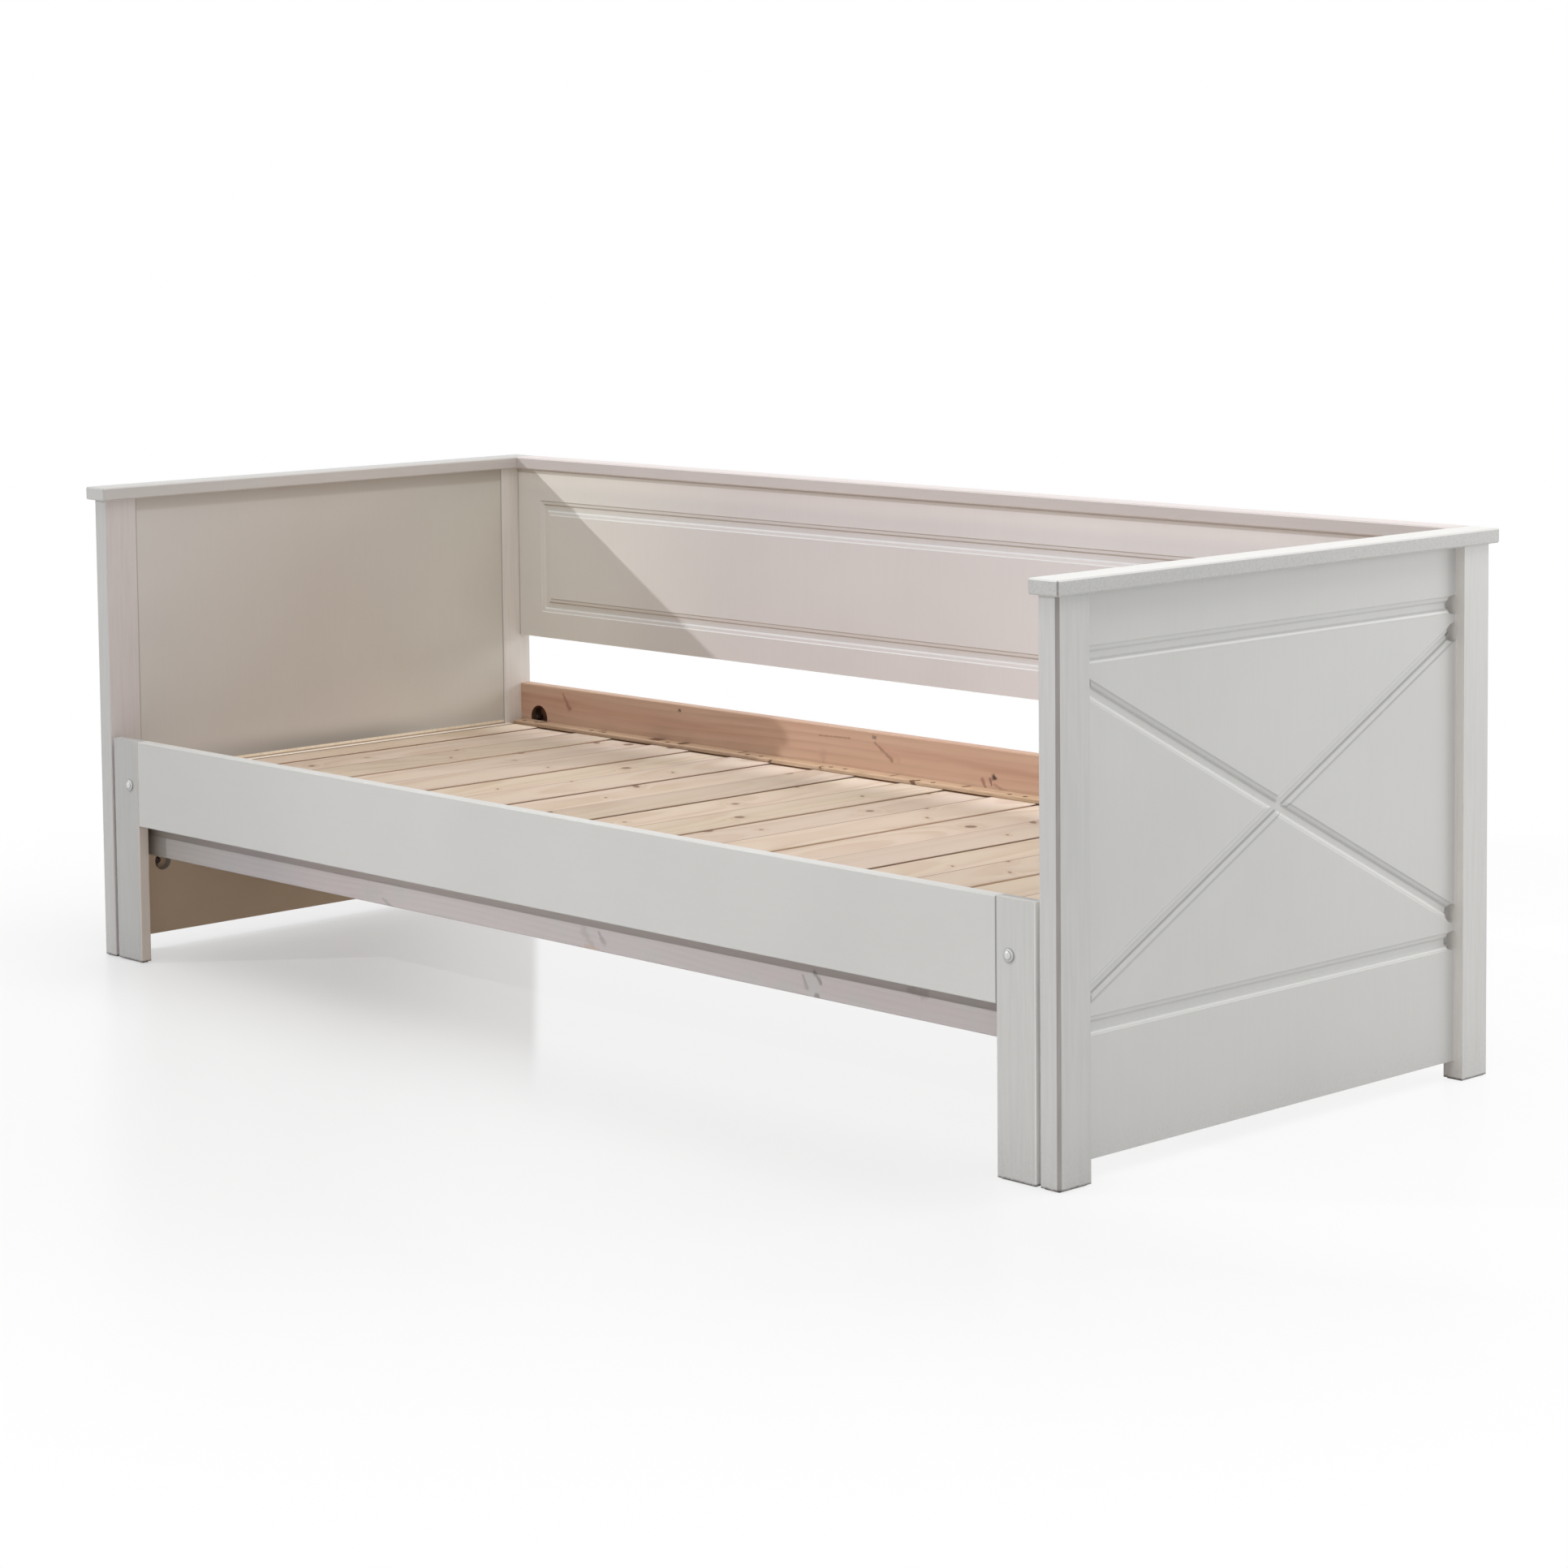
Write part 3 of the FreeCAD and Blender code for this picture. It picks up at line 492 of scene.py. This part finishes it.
    def finished(self):
        self.shade_arrises()
        self.shade_feet()
        orange_peel = self.noise(self.place, 420.0, 2.0, 0.5)
        nib = self.between(self.noise(self.place, 900.0, 0.0), 0.80, 0.86)
        height = self.math("MULTIPLY_ADD", self.grain, 0.6, orange_peel)
        height = self.math("MULTIPLY_ADD", nib, 0.5, height)
        rough = self.between(self.cloud, 0.25, 0.75, 0.42, 0.54)
        return self.complete(rough, self.bump(height, 0.08, 0.0006), **{"Specular IOR Level": 0.4})


class PineBoard(Finish):
    """Planed pine: growth rings cut by the board's face, broad colour bands, fibres and knots.

    hues are the tones of the early wood, the late wood, the pinkish bands and the knots.  along
    names the axis of the board's length.  pitch is the spacing of a row of boards, each of which
    gets its own part of the log, or None for a single board.  depth is how far the log's heart lies
    under the face, ring is the width of a growth ring, and tones is the spread of tone from board to
    board.  knot_share is how many of the possible knots, knot_spacing apart, are there."""

    def __init__(self, name, hues, along, knot_share, knot_size, knot_spacing, knot_stretch=1.0,
                 knot_depth=0.85, pitch=None, ring=0.0042, depth=0.06, streaks=0.6, tones=0.14):
        super().__init__(name)
        light, dark, blush, knot = hues
        self.find_board(along, pitch)
        reach, bend, present = self.knots(knot_spacing, knot_share, knot_size, knot_stretch)
        self.inside = self.product(self.between(reach, 1.45, 1.05), present)
        heart = self.product(self.between(reach, 0.95, 0.45), present)
        self.late = self.growth_rings(bend, ring, depth)
        fibre_place = self.join(
            self.product(self.across, 900.0), self.product(self.length, 14.0), self.product(self.into, 700.0))
        self.fibre = self.noise(fibre_place, 1.0, 3.0, 0.65)
        band_place = self.join(
            self.product(self.across, 26.0), self.product(self.length, 1.1), self.chance[0])
        band = self.noise(band_place, 1.0, 3.0, 0.6)

        figure = self.product(self.late, self.between(self.noise(self.place, 7.0), 0.30, 0.70, 0.35, 1.0))
        self.figure = self.math(
            "MULTIPLY_ADD", self.between(self.fibre, 0.40, 0.80), 0.35, figure, clamp=True)
        pinkness = self.math(
            "MULTIPLY_ADD", self.chance[1], 0.7, self.between(band, 0.30, 0.70, -0.2, 0.5), clamp=True)
        self.colour = self.mix(pinkness, light, blush)
        self.lay(self.product(self.figure, streaks), dark)
        self.lay(self.product(self.between(band, 0.56, 0.74), 0.35), dark)
        tone = self.math("MULTIPLY_ADD", self.chance[2], tones, 1.0 - tones * 0.6)
        self.tint(1.0, self.join(tone, tone, tone))
        self.lay(self.product(bend, 0.35), dark)
        self.lay(self.product(self.inside, knot_depth), knot)
        self.lay(self.product(heart, knot_depth * 0.6), tuned(knot, 1.9))

    def find_board(self, along, pitch):
        """Find a point's place along its board, across its face and into it, and the board's chances.

        A row of boards is told apart along the bed, and single boards by how far back they lie."""
        if pitch:
            turns = self.math("DIVIDE", self.x, pitch)
            number = self.math("ROUND", turns)
            self.across = self.product(self.math("SUBTRACT", turns, number), pitch)
        else:
            number = self.math("ROUND", self.product(self.y, 9.0))
            self.across = self.z if along == "X" else self.x
        seed = self.add("ShaderNodeTexWhiteNoise", {"W": number}, noise_dimensions="1D")
        self.chance = self.split(seed.outputs["Color"])
        length, self.into = (self.y, self.z) if along == "Y" else (self.x, self.y)
        self.length = self.math("MULTIPLY_ADD", self.chance[0], 6.0, length)

    def knots(self, spacing, share, size, stretch):
        """Reach from the nearest knot, in its own radii, how far it bends the grain, and if it is there."""
        gap_across, gap_along = spacing * 0.34, spacing
        cell = self.join(
            self.math("DIVIDE", self.across, gap_across), self.math("DIVIDE", self.length, gap_along))
        nearest = self.add(
            "ShaderNodeTexVoronoi", {"Vector": cell, "Scale": 1.0, "Randomness": 0.9},
            voronoi_dimensions="2D", feature="F1")
        away = self.vector("SUBTRACT", nearest.outputs["Position"], cell)
        away = self.split(self.vector("MULTIPLY", away, (gap_across, gap_along, 0.0)))
        luck = self.split(nearest.outputs["Color"])
        lean = self.math("MULTIPLY_ADD", luck[2], 2.0, -1.0)
        skew = self.math("MULTIPLY_ADD", away[1], lean, away[0])
        distance = self.vector("LENGTH", self.join(skew, self.math("DIVIDE", away[1], stretch)))
        present = self.math("LESS_THAN", luck[0], share)
        radius = self.math("MULTIPLY_ADD", self.product(luck[1], luck[1]), size * 0.7, size * 0.3)
        reach = self.math("DIVIDE", distance, radius)
        reach = self.math("MULTIPLY_ADD", self.noise(self.place, 260.0), 0.5, reach)
        bend = self.product(self.math("EXPONENT", self.product(reach, reach, -0.14)), present)
        return reach, bend, present

    def growth_rings(self, bend, ring, depth):
        """Late wood of the rings round a heart line that wanders slowly under the board."""
        wander = self.noise(self.join(0.0, self.length, self.chance[2]), 0.9, 1.0)
        under = self.math("ADD", self.math("MULTIPLY_ADD", wander, 0.06, depth - 0.03), self.into)
        centre = self.product(self.math("SUBTRACT", self.chance[1], 0.5), 0.11)
        ripple_place = self.join(self.product(self.across, 14.0), self.product(self.length, 2.2), self.into)
        ripple = self.noise(ripple_place, 1.0, 3.0, 0.5)
        side = self.math("MULTIPLY_ADD", ripple, 0.005, self.math("SUBTRACT", self.across, centre))
        radius = self.math("MULTIPLY_ADD", bend, ring * 2.2, self.vector("LENGTH", self.join(side, under)))
        turn = self.math("FRACT", self.math("DIVIDE", radius, ring))
        return self.product(self.between(turn, 0.20, 0.85), self.between(turn, 1.0, 0.88))

    def paint_light_on_deck_rear(self):
        """Painted light on the rear of the deck."""
        self.tint(self.between(self.y, 0.26, 0.37), DECK_REAR_LIGHT)

    def shade_slat_joints(self):
        """Painted shade of the joints: on the left edges of the fixed slats and on the flanks of all, darkest
        just before the strip.
        """
        edge_shade = self.product(
            self.between(self.across, 0.0050 - SLAT_HALF_WIDTH, 0.0035 - SLAT_HALF_WIDTH),
            self.math("GREATER_THAN", self.z, SLAT_TOP - 0.0005),
            self.between(self.chance[0], 0.0, 1.0, 0.50, 0.95))
        self.lay(edge_shade, SLAT_EDGE_SHADE)
        flank = self.between(self.math("ABSOLUTE", self.face_x), 0.80, 0.95)
        self.lay(flank, self.mix(self.chance[0], *SLAT_FLANK_SHADES))
        near_strip = self.between(self.y, STRIP_FRONT - 0.014, STRIP_FRONT - 0.005)
        self.lay(self.product(self.math("MAXIMUM", edge_shade, flank), near_strip), JOINT_TIP_SHADE)

    def finish_deck_ends(self):
        """Painted light on the end slats, pale side strips lightened with painted light, a dark seam between
        them, and painted shade on the wood under the strip.
        """
        border = self.math("ABSOLUTE", self.x)
        self.tint(self.between(border, 0.89, 0.94), END_SLAT_LIGHT)
        self.lay(self.between(border, SIDE_STRIP - 0.0006, SIDE_STRIP), SIDE_STRIP_WOOD_AND_LIGHT)
        seam = self.between(self.distance(border, SIDE_STRIP - 0.0015), 0.0042, 0.0028)
        self.lay(self.product(seam, 0.85), SEAM_SHADE)
        self.lay(self.between(self.y, STRIP_FRONT, STRIP_FRONT + 0.001), UNDER_STRIP_SHADE)

    def shade_front(self, share):
        """Make the face toward the front less bright than the others."""
        self.tint(self.between(self.face_y, -0.5, -0.8), (share, share, share))

    def shade_recesses(self):
        """Painted shade in the round recesses that are cut into the back rail."""
        hollow = self.math("LESS_THAN", self.from_centre(RECESS_PLACE), RECESS_RADIUS + 0.0003)
        self.lay(self.product(hollow, 0.85), RECESS_SHADE)

    def cloud_over(self):
        """Cloud the wood with greyish patches."""
        patch = self.between(self.noise(self.place, 15.0, 3.0, 0.6), 0.50, 0.68)
        self.tint(self.product(patch, 0.55), GREYISH_TINT)

    def draw(self, marks):
        """Draw the tapered streaks of the knots and cracks that a rail is known to have."""
        place = self.join(self.x, 0.0, self.z)
        ragged = self.noise(self.place, 170.0, 3.0, 0.6)
        for (start_x, start_z), (end_x, end_z), (first, last), hue, share in marks:
            run = Vector((end_x - start_x, 0.0, end_z - start_z))
            offset = self.vector("SUBTRACT", place, (start_x, 0.0, start_z))
            along = self.vector("DOT_PRODUCT", offset, tuple(run / run.length_squared))
            along = self.math("ADD", along, 0.0, clamp=True)
            nearest = self.vector("SCALE", tuple(run), along)
            away = self.vector("LENGTH", self.vector("SUBTRACT", offset, nearest))
            away = self.math("DIVIDE", away, self.math("MULTIPLY_ADD", along, last - first, first))
            away = self.math("MULTIPLY_ADD", ragged, 3.2, away)
            self.lay(self.between(away, 3.6, 2.0, 0.0, share), hue)

    def shade_behind_front(self):
        """Shade of the front rail on the rail behind it, weaker higher up and stronger to the right."""
        fade = self.between(self.z, SHADE_BOTTOM, SHADE_BOTTOM + 0.012, 0.80, 1.0, smooth=False)
        dim = self.product(fade, self.between(self.x, -0.30, 0.90, 0.95, 0.79, smooth=False))
        shade = self.join(*(self.product(dim, channel) for channel in COOL_SHADE))
        self.tint(self.between(self.z, SHADE_BOTTOM - 0.0006, SHADE_BOTTOM + 0.0006), shade)

    def finished(self, relief=0.22):
        height = self.math("MULTIPLY_ADD", self.late, 0.5, self.product(self.fibre, 0.5))
        height = self.math("MULTIPLY_ADD", self.inside, 0.35, height)
        rough = self.math("MULTIPLY_ADD", self.figure, -0.10, 0.62)
        return self.complete(rough, self.bump(height, relief, 0.0005), **{"Specular IOR Level": 0.3})


def dark_steel():
    """Dull dark-passivated steel with fine turning marks."""
    steel = Finish("dark_steel")
    cloud = steel.noise(steel.place, 260.0, 3.0, 0.6)
    marks = steel.noise(steel.vector("MULTIPLY", steel.place, (1.0, 1.0, 9.0)), 900.0, 1.0)
    steel.colour = steel.mix(steel.between(cloud, 0.3, 0.7), (0.040, 0.024, 0.016), (0.085, 0.055, 0.038))
    rough = steel.between(cloud, 0.2, 0.8, 0.48, 0.62)
    return steel.complete(rough, steel.bump(marks, 0.10, 0.0001), Metallic=0.35)


def white_enamel():
    """White lacquer on the bolt heads, slightly uneven, with painted shade in its ring and at the rim."""
    enamel = Finish("white_enamel")
    cloud = enamel.noise(enamel.place, 420.0)
    enamel.colour = enamel.mix(enamel.between(cloud, 0.3, 0.7), (0.60, 0.60, 0.59), (0.66, 0.66, 0.65))
    radius = enamel.from_centre(BOLT_PLACE)
    ring = enamel.between(enamel.distance(radius, 0.0056), 0.0009, 0.0003)
    rim = enamel.between(radius, 0.0073, 0.0081)
    # Painted shade in the ring and at the rim of the bolt head
    enamel.lay(enamel.product(enamel.math("MAXIMUM", ring, rim), 0.80), (0.26, 0.26, 0.25))
    rough = enamel.between(cloud, 0.2, 0.8, 0.24, 0.34)
    return enamel.complete(rough, enamel.bump(cloud, 0.05, 0.0002), **{"Coat Weight": 0.3})


def glide_plastic():
    """Dark moulded plastic of the pads, scuffed."""
    plastic = Finish("glide_plastic")
    scuff = plastic.noise(plastic.place, 700.0, 3.0, 0.7)
    plastic.colour = plastic.mix(
        plastic.between(scuff, 0.35, 0.75), (0.030, 0.028, 0.027), (0.075, 0.070, 0.066))
    rough = plastic.between(scuff, 0.2, 0.8, 0.45, 0.65)
    return plastic.complete(rough, plastic.bump(scuff, 0.15, 0.0003))


def hues(finish, *names):
    """The colours that the finish has under these names."""
    return [tuple(getattr(finish, name)) for name in names]


def give(material, *nodes):
    """Put one material on these boards and fittings, in place of the one they came with."""
    for name in nodes:
        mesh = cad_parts[name].data
        mesh.materials.clear()
        mesh.materials.append(material)


# ------------------------------------------------------------------ operators

class DaybedOperator(bpy.types.Operator):
    """Shared part of every step of the daybed."""

    bl_options = {"REGISTER", "UNDO"}


class DAYBED_OT_paint(DaybedOperator):
    """Paint the posts, panels, caps, front rail and legs"""

    bl_idname = "daybed.paint"
    bl_label = "Painted boards"

    def execute(self, context):
        coat = tuple(context.scene.daybed_finish.paint)
        self.paint_posts(coat)
        self.paint_legs(coat)
        self.paint_front_rail(coat)
        self.paint_caps(coat)
        self.paint_panels(coat)
        self.paint_back(coat)
        return {"FINISHED"}

    def upright(self, name, coat):
        return PaintedBoard(name, coat, grain_show=0.34, grain_scale=190.0)

    def paint_posts(self, coat):
        right = self.upright("painted_right_post", tuned(coat, 0.94))
        give(right.finished(), "right_front_post")
        left = self.upright("painted_left_post", tuned(coat, 0.83))
        left.paint_light_inner((1.50, 1.32, 1.34))
        give(left.finished(), "left_front_post")
        rear = self.upright("painted_rear_posts", coat)
        rear.paint_light_inner((1.33, 1.28, 1.24))
        give(rear.finished(), *REAR_POSTS)

    def paint_legs(self, coat):
        right = self.upright("painted_right_leg", tuned(coat, 0.94))
        right.paint_light_on_flank(1.60)
        right.shade_bolt()
        give(right.finished(), "right_leg")
        left = self.upright("painted_left_leg", tuned(coat, 0.73))
        left.paint_light_inner((2.40, 2.00, 1.72))
        left.shade_bolt()
        give(left.finished(), "left_leg")

    def paint_front_rail(self, coat):
        rail = PaintedBoard("painted_rail", coat, LEVEL_GRAIN, grain_show=0.05)
        rail.paint_light_along(FRONT_RAIL_LIGHT_ALONG)
        rail.mark_joint(rail.x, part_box("right_leg")[0].x, on_inner=False)
        give(rail.finished(), "front_rail")

    def paint_caps(self, coat):
        right = PaintedBoard("painted_right_cap", tuned(coat, 0.86), DEEP_GRAIN, grain_show=0.16, mottle=0.30)
        right.paint_light_on_top(1.38)
        give(right.finished(), "right_end_cap")
        left = PaintedBoard("painted_left_cap", tuned(coat, 0.84), DEEP_GRAIN, grain_show=0.16)
        left.paint_light_inner((1.16, 1.09, 1.07))
        give(left.finished(), "left_end_cap")
        back = PaintedBoard("painted_back_cap", (0.578, 0.525, 0.510), LEVEL_GRAIN)
        back.paint_light_on_top(1.15)
        give(back.finished(), "back_cap")

    def paint_panels(self, coat):
        panel = PaintedBoard("painted_panel", tuned(coat, 0.98), grain_show=0.06)
        panel.paint_light_inner((1.05, 0.970, 0.910))
        panel.paint_light_inner_rear((1.06, 1.11, 1.10))
        panel.brown_low_inner_faces(BROWN_BELOW)
        panel.paint_groove_light_and_shade()
        panel.shade_eaves(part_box("left_end_cap")[0].z, 0.023, 0.017, 1.0)
        panel.line_with_batten()
        panel.mark_joint(panel.y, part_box("left_rear_post")[0].y, on_inner=True)
        give(panel.finished(), *PANEL_NODES)

    def paint_back(self, coat):
        cap_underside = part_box("back_cap")[0].z
        back = PaintedBoard("painted_back", coat, grain_show=0.06)
        back.paint_light_along(BACK_PANEL_LIGHT_ALONG)
        back.shade_moulding()
        back.light_under_eaves(cap_underside)
        back.shade_eaves(cap_underside, 0.0085, 0.0060, 1.6)
        back.mark_joint(back.x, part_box("right_rear_post")[0].x, on_inner=True)
        give(back.finished(), "back_panel")


class DAYBED_OT_slats(DaybedOperator):
    """Give every slat of the deck its own piece of pale pine"""

    bl_idname = "daybed.slats"
    bl_label = "Pale pine slats"

    def execute(self, context):
        finish = context.scene.daybed_finish
        slats = PineBoard(
            "slat_pine", hues(finish, "slat_light", "slat_dark", "slat_blush", "knot"), "Y",
            knot_share=0.36, knot_size=0.0100, knot_spacing=finish.slat_knots, knot_depth=0.75,
            pitch=finish.slat_pitch, depth=0.08, ring=0.0036, streaks=0.36, tones=0.16)
        slats.paint_light_on_deck_rear()
        slats.shade_slat_joints()
        slats.finish_deck_ends()
        give(slats.finished(), *SLAT_NODES)
        return {"FINISHED"}


class DAYBED_OT_rails(DaybedOperator):
    """Give the rails, cleats, battens and dowels their bare or white-washed pine"""

    bl_idname = "daybed.rails"
    bl_label = "Pine rails"

    def execute(self, context):
        finish = context.scene.daybed_finish
        self.bare_pieces(finish)
        self.back_rail(finish)
        self.hold_down_strip(finish)
        self.inner_front_rail(finish)
        return {"FINISHED"}

    def bare_pieces(self, finish):
        bare = PineBoard(
            "bare_pine", hues(finish, "pine_light", "pine_dark", "pine_blush", "rail_knot"), "X",
            knot_share=0.60, knot_size=0.017, knot_spacing=finish.rail_knots, knot_stretch=1.3,
            streaks=0.20, depth=0.05, ring=0.0075)
        give(bare.finished(), *BARE_PINE_NODES)

    def back_rail(self, finish):
        rail = PineBoard(
            "back_rail_pine", hues(finish, "pine_light", "pine_dark", "pine_blush", "rail_knot"), "X",
            knot_share=0.0, knot_size=0.017, knot_spacing=finish.rail_knots,
            streaks=0.24, depth=0.05, ring=0.0075)
        rail.shade_recesses()
        rail.draw(BACK_RAIL_MARKS)
        give(rail.finished(), "back_rail")

    def hold_down_strip(self, finish):
        strip = PineBoard(
            "strip_pine", hues(finish, "strip_light", "strip_dark", "pine_light", "knot"), "X",
            knot_share=0.75, knot_size=0.0065, knot_spacing=0.085, knot_stretch=2.2,
            streaks=0.45, depth=0.07)
        strip.paint_light_along(STRIP_LIGHT_ALONG)
        strip.shade_front(0.70)
        give(strip.finished(), "slat_hold_down_strip")

    def inner_front_rail(self, finish):
        rail = PineBoard(
            "whitewashed_pine", hues(finish, "wash_light", "wash_dark", "wash_blush", "washed_knot"), "X",
            knot_share=0.0, knot_size=0.017, knot_spacing=finish.rail_knots, streaks=0.26)
        rail.paint_light_along(INNER_RAIL_LIGHT_ALONG)
        rail.cloud_over()
        rail.draw(INNER_RAIL_MARKS)
        rail.shade_behind_front()
        give(rail.finished(relief=0.15), "inner_front_rail")


class DAYBED_OT_fittings(DaybedOperator):
    """Give the steel fittings, bolt heads and pads their finishes"""

    bl_idname = "daybed.fittings"
    bl_label = "Fittings"

    def execute(self, context):
        give(dark_steel(), *STEEL_NODES)
        give(white_enamel(), "leg_bolts")
        give(glide_plastic(), *GLIDE_NODES)
        return {"FINISHED"}


class DAYBED_OT_stage(DaybedOperator):
    """Set the floor, the lamps, the pale surroundings and the camera"""

    bl_idname = "daybed.stage"
    bl_label = "Stage"

    def execute(self, context):
        stage = context.scene.daybed_stage
        self.set_camera(context, stage)
        self.set_floor()
        self.set_lamps(context, stage)
        self.set_surroundings(context, stage)
        context.scene.view_settings.view_transform = "Standard"
        return {"FINISHED"}

    def set_camera(self, context, stage):
        data = bpy.data.cameras.new("camera")
        data.sensor_width = SENSOR_WIDTH
        data.lens = stage.lens
        data.shift_y = stage.shift
        camera = bpy.data.objects.new("camera", data)
        context.scene.collection.objects.link(camera)
        turned = Matrix.Rotation(stage.turn, 4, "Z")
        tilted = Matrix.Rotation(math.pi / 2 - stage.tilt, 4, "X")
        rolled = Matrix.Rotation(stage.roll, 4, "Z")
        place = Matrix.Translation((stage.camera_x, -stage.camera_y, stage.camera_z))
        camera.matrix_world = place @ turned @ tilted @ rolled
        context.scene.camera = camera

    def set_floor(self):
        """White floor that glows for the eye, less so near the bed, where it keeps the bed's shade."""
        bpy.ops.object.select_all(action="DESELECT")
        bpy.ops.mesh.primitive_plane_add(size=FLOOR_WIDTH)
        floor = bpy.context.object
        floor.name = "floor"
        paper = Finish("floor")
        paper.colour = FLOOR_WHITE
        paper.complete(0.30, **{"Specular IOR Level": 0.3})
        rays = paper.add("ShaderNodeLightPath")
        glow = paper.add("ShaderNodeEmission", {"Strength": 1.0})
        share = paper.product(rays.outputs["Is Camera Ray"], self.floor_glow(paper))
        blend = paper.add("ShaderNodeMixShader", {"Fac": share})
        paper.connect(paper.surface.outputs[0], blend.inputs[1])
        paper.connect(glow.outputs[0], blend.inputs[2])
        paper.connect(blend.outputs[0], paper.tree.nodes["Material Output"].inputs["Surface"])
        floor.data.materials.append(paper.material)

    def floor_glow(self, paper):
        """How much the floor glows: wholly far from the bed, and more behind a slanting line under it."""
        behind = paper.math("MULTIPLY_ADD", paper.x, 0.64, paper.product(paper.y, 0.766))
        step = paper.product(
            paper.between(behind, -0.314, -0.294, 0.0, 0.26), paper.between(paper.y, -0.60, -0.30))
        near = paper.math("ADD", paper.between(behind, -0.62, -0.33, 0.44, 0.58), step)
        away = paper.vector("LENGTH", paper.join(paper.x, paper.y))
        return paper.math("MAXIMUM", near, paper.between(away, 1.0, 2.3, 0.44, 1.0))

    def set_lamps(self, context, stage):
        """Key lamp whose light doesn't fall off, soft light from above, and two soft lamps."""
        key = bpy.data.lights.new("key", "POINT")
        key.energy = 1.0
        key.shadow_soft_size = stage.key_size
        key.use_nodes = True
        nodes = Nodes(key.node_tree)
        falloff = nodes.add("ShaderNodeLightFalloff", {"Strength": stage.key_strength})
        nodes.connect(falloff.outputs["Constant"], nodes.tree.nodes["Emission"].inputs["Strength"])
        self.aim(context, key, *KEY_LAMP)
        top = bpy.data.lights.new("top", "SUN")
        top.energy = stage.top_strength
        top.angle = TOP_SPREAD
        self.aim(context, top, *TOP_LAMP)
        self.aim(context, self.soft_lamp("side", 1.2, 0.8, stage.side_strength), *SIDE_LAMP)
        self.aim(context, self.soft_lamp("front", 2.4, 1.6, stage.front_strength), *FRONT_LAMP)

    def soft_lamp(self, name, width, height, power):
        lamp = bpy.data.lights.new(name, "AREA")
        lamp.shape = "RECTANGLE"
        lamp.size = width
        lamp.size_y = height
        lamp.energy = power
        return lamp

    def aim(self, context, data, place, direction):
        lamp = bpy.data.objects.new(data.name + "_lamp", data)
        context.scene.collection.objects.link(lamp)
        lamp.location = place
        lamp.rotation_euler = Vector(direction).to_track_quat("-Z", "Y").to_euler()

    def set_surroundings(self, context, stage):
        """Pale light from all round, which the eye, gloss and glass see as plain white."""
        world = bpy.data.worlds.new("surroundings")
        world.use_nodes = True
        context.scene.world = world
        nodes = Nodes(world.node_tree)
        background = nodes.tree.nodes["Background"].inputs
        rays = nodes.add("ShaderNodeLightPath").outputs
        seen = nodes.math("MAXIMUM", rays["Is Camera Ray"], rays["Is Glossy Ray"])
        seen = nodes.math("MAXIMUM", seen, rays["Is Transmission Ray"])
        nodes.connect(WHITE, background["Color"])
        nodes.connect(nodes.between(seen, 0.0, 1.0, stage.ambient, 1.0, smooth=False), background["Strength"])


class DAYBED_PT_panel(bpy.types.Panel):
    """Lists the steps and their settings"""

    bl_label = "Daybed"
    bl_idname = "DAYBED_PT_panel"
    bl_space_type = "VIEW_3D"
    bl_region_type = "UI"
    bl_category = "Daybed"

    def draw(self, context):
        column = self.layout.column()
        for step in STEPS:
            column.operator(step.bl_idname)
        for group in (context.scene.daybed_finish, context.scene.daybed_stage):
            box = self.layout.box()
            for name in group.__annotations__:
                box.prop(group, name)


STEPS = (
    DAYBED_OT_paint,
    DAYBED_OT_slats,
    DAYBED_OT_rails,
    DAYBED_OT_fittings,
    DAYBED_OT_stage,
)
CLASSES = (DaybedFinish, DaybedStage, *STEPS, DAYBED_PT_panel)


def register():
    for kind in CLASSES:
        bpy.utils.register_class(kind)
    bpy.types.Scene.daybed_finish = bpy.props.PointerProperty(type=DaybedFinish)
    bpy.types.Scene.daybed_stage = bpy.props.PointerProperty(type=DaybedStage)


def unregister():
    del bpy.types.Scene.daybed_stage
    del bpy.types.Scene.daybed_finish
    for kind in reversed(CLASSES):
        bpy.utils.unregister_class(kind)


def main():
    register()
    for step in STEPS:
        group, name = step.bl_idname.split(".")
        getattr(getattr(bpy.ops, group), name)()


if __name__ == "__main__":
    main()
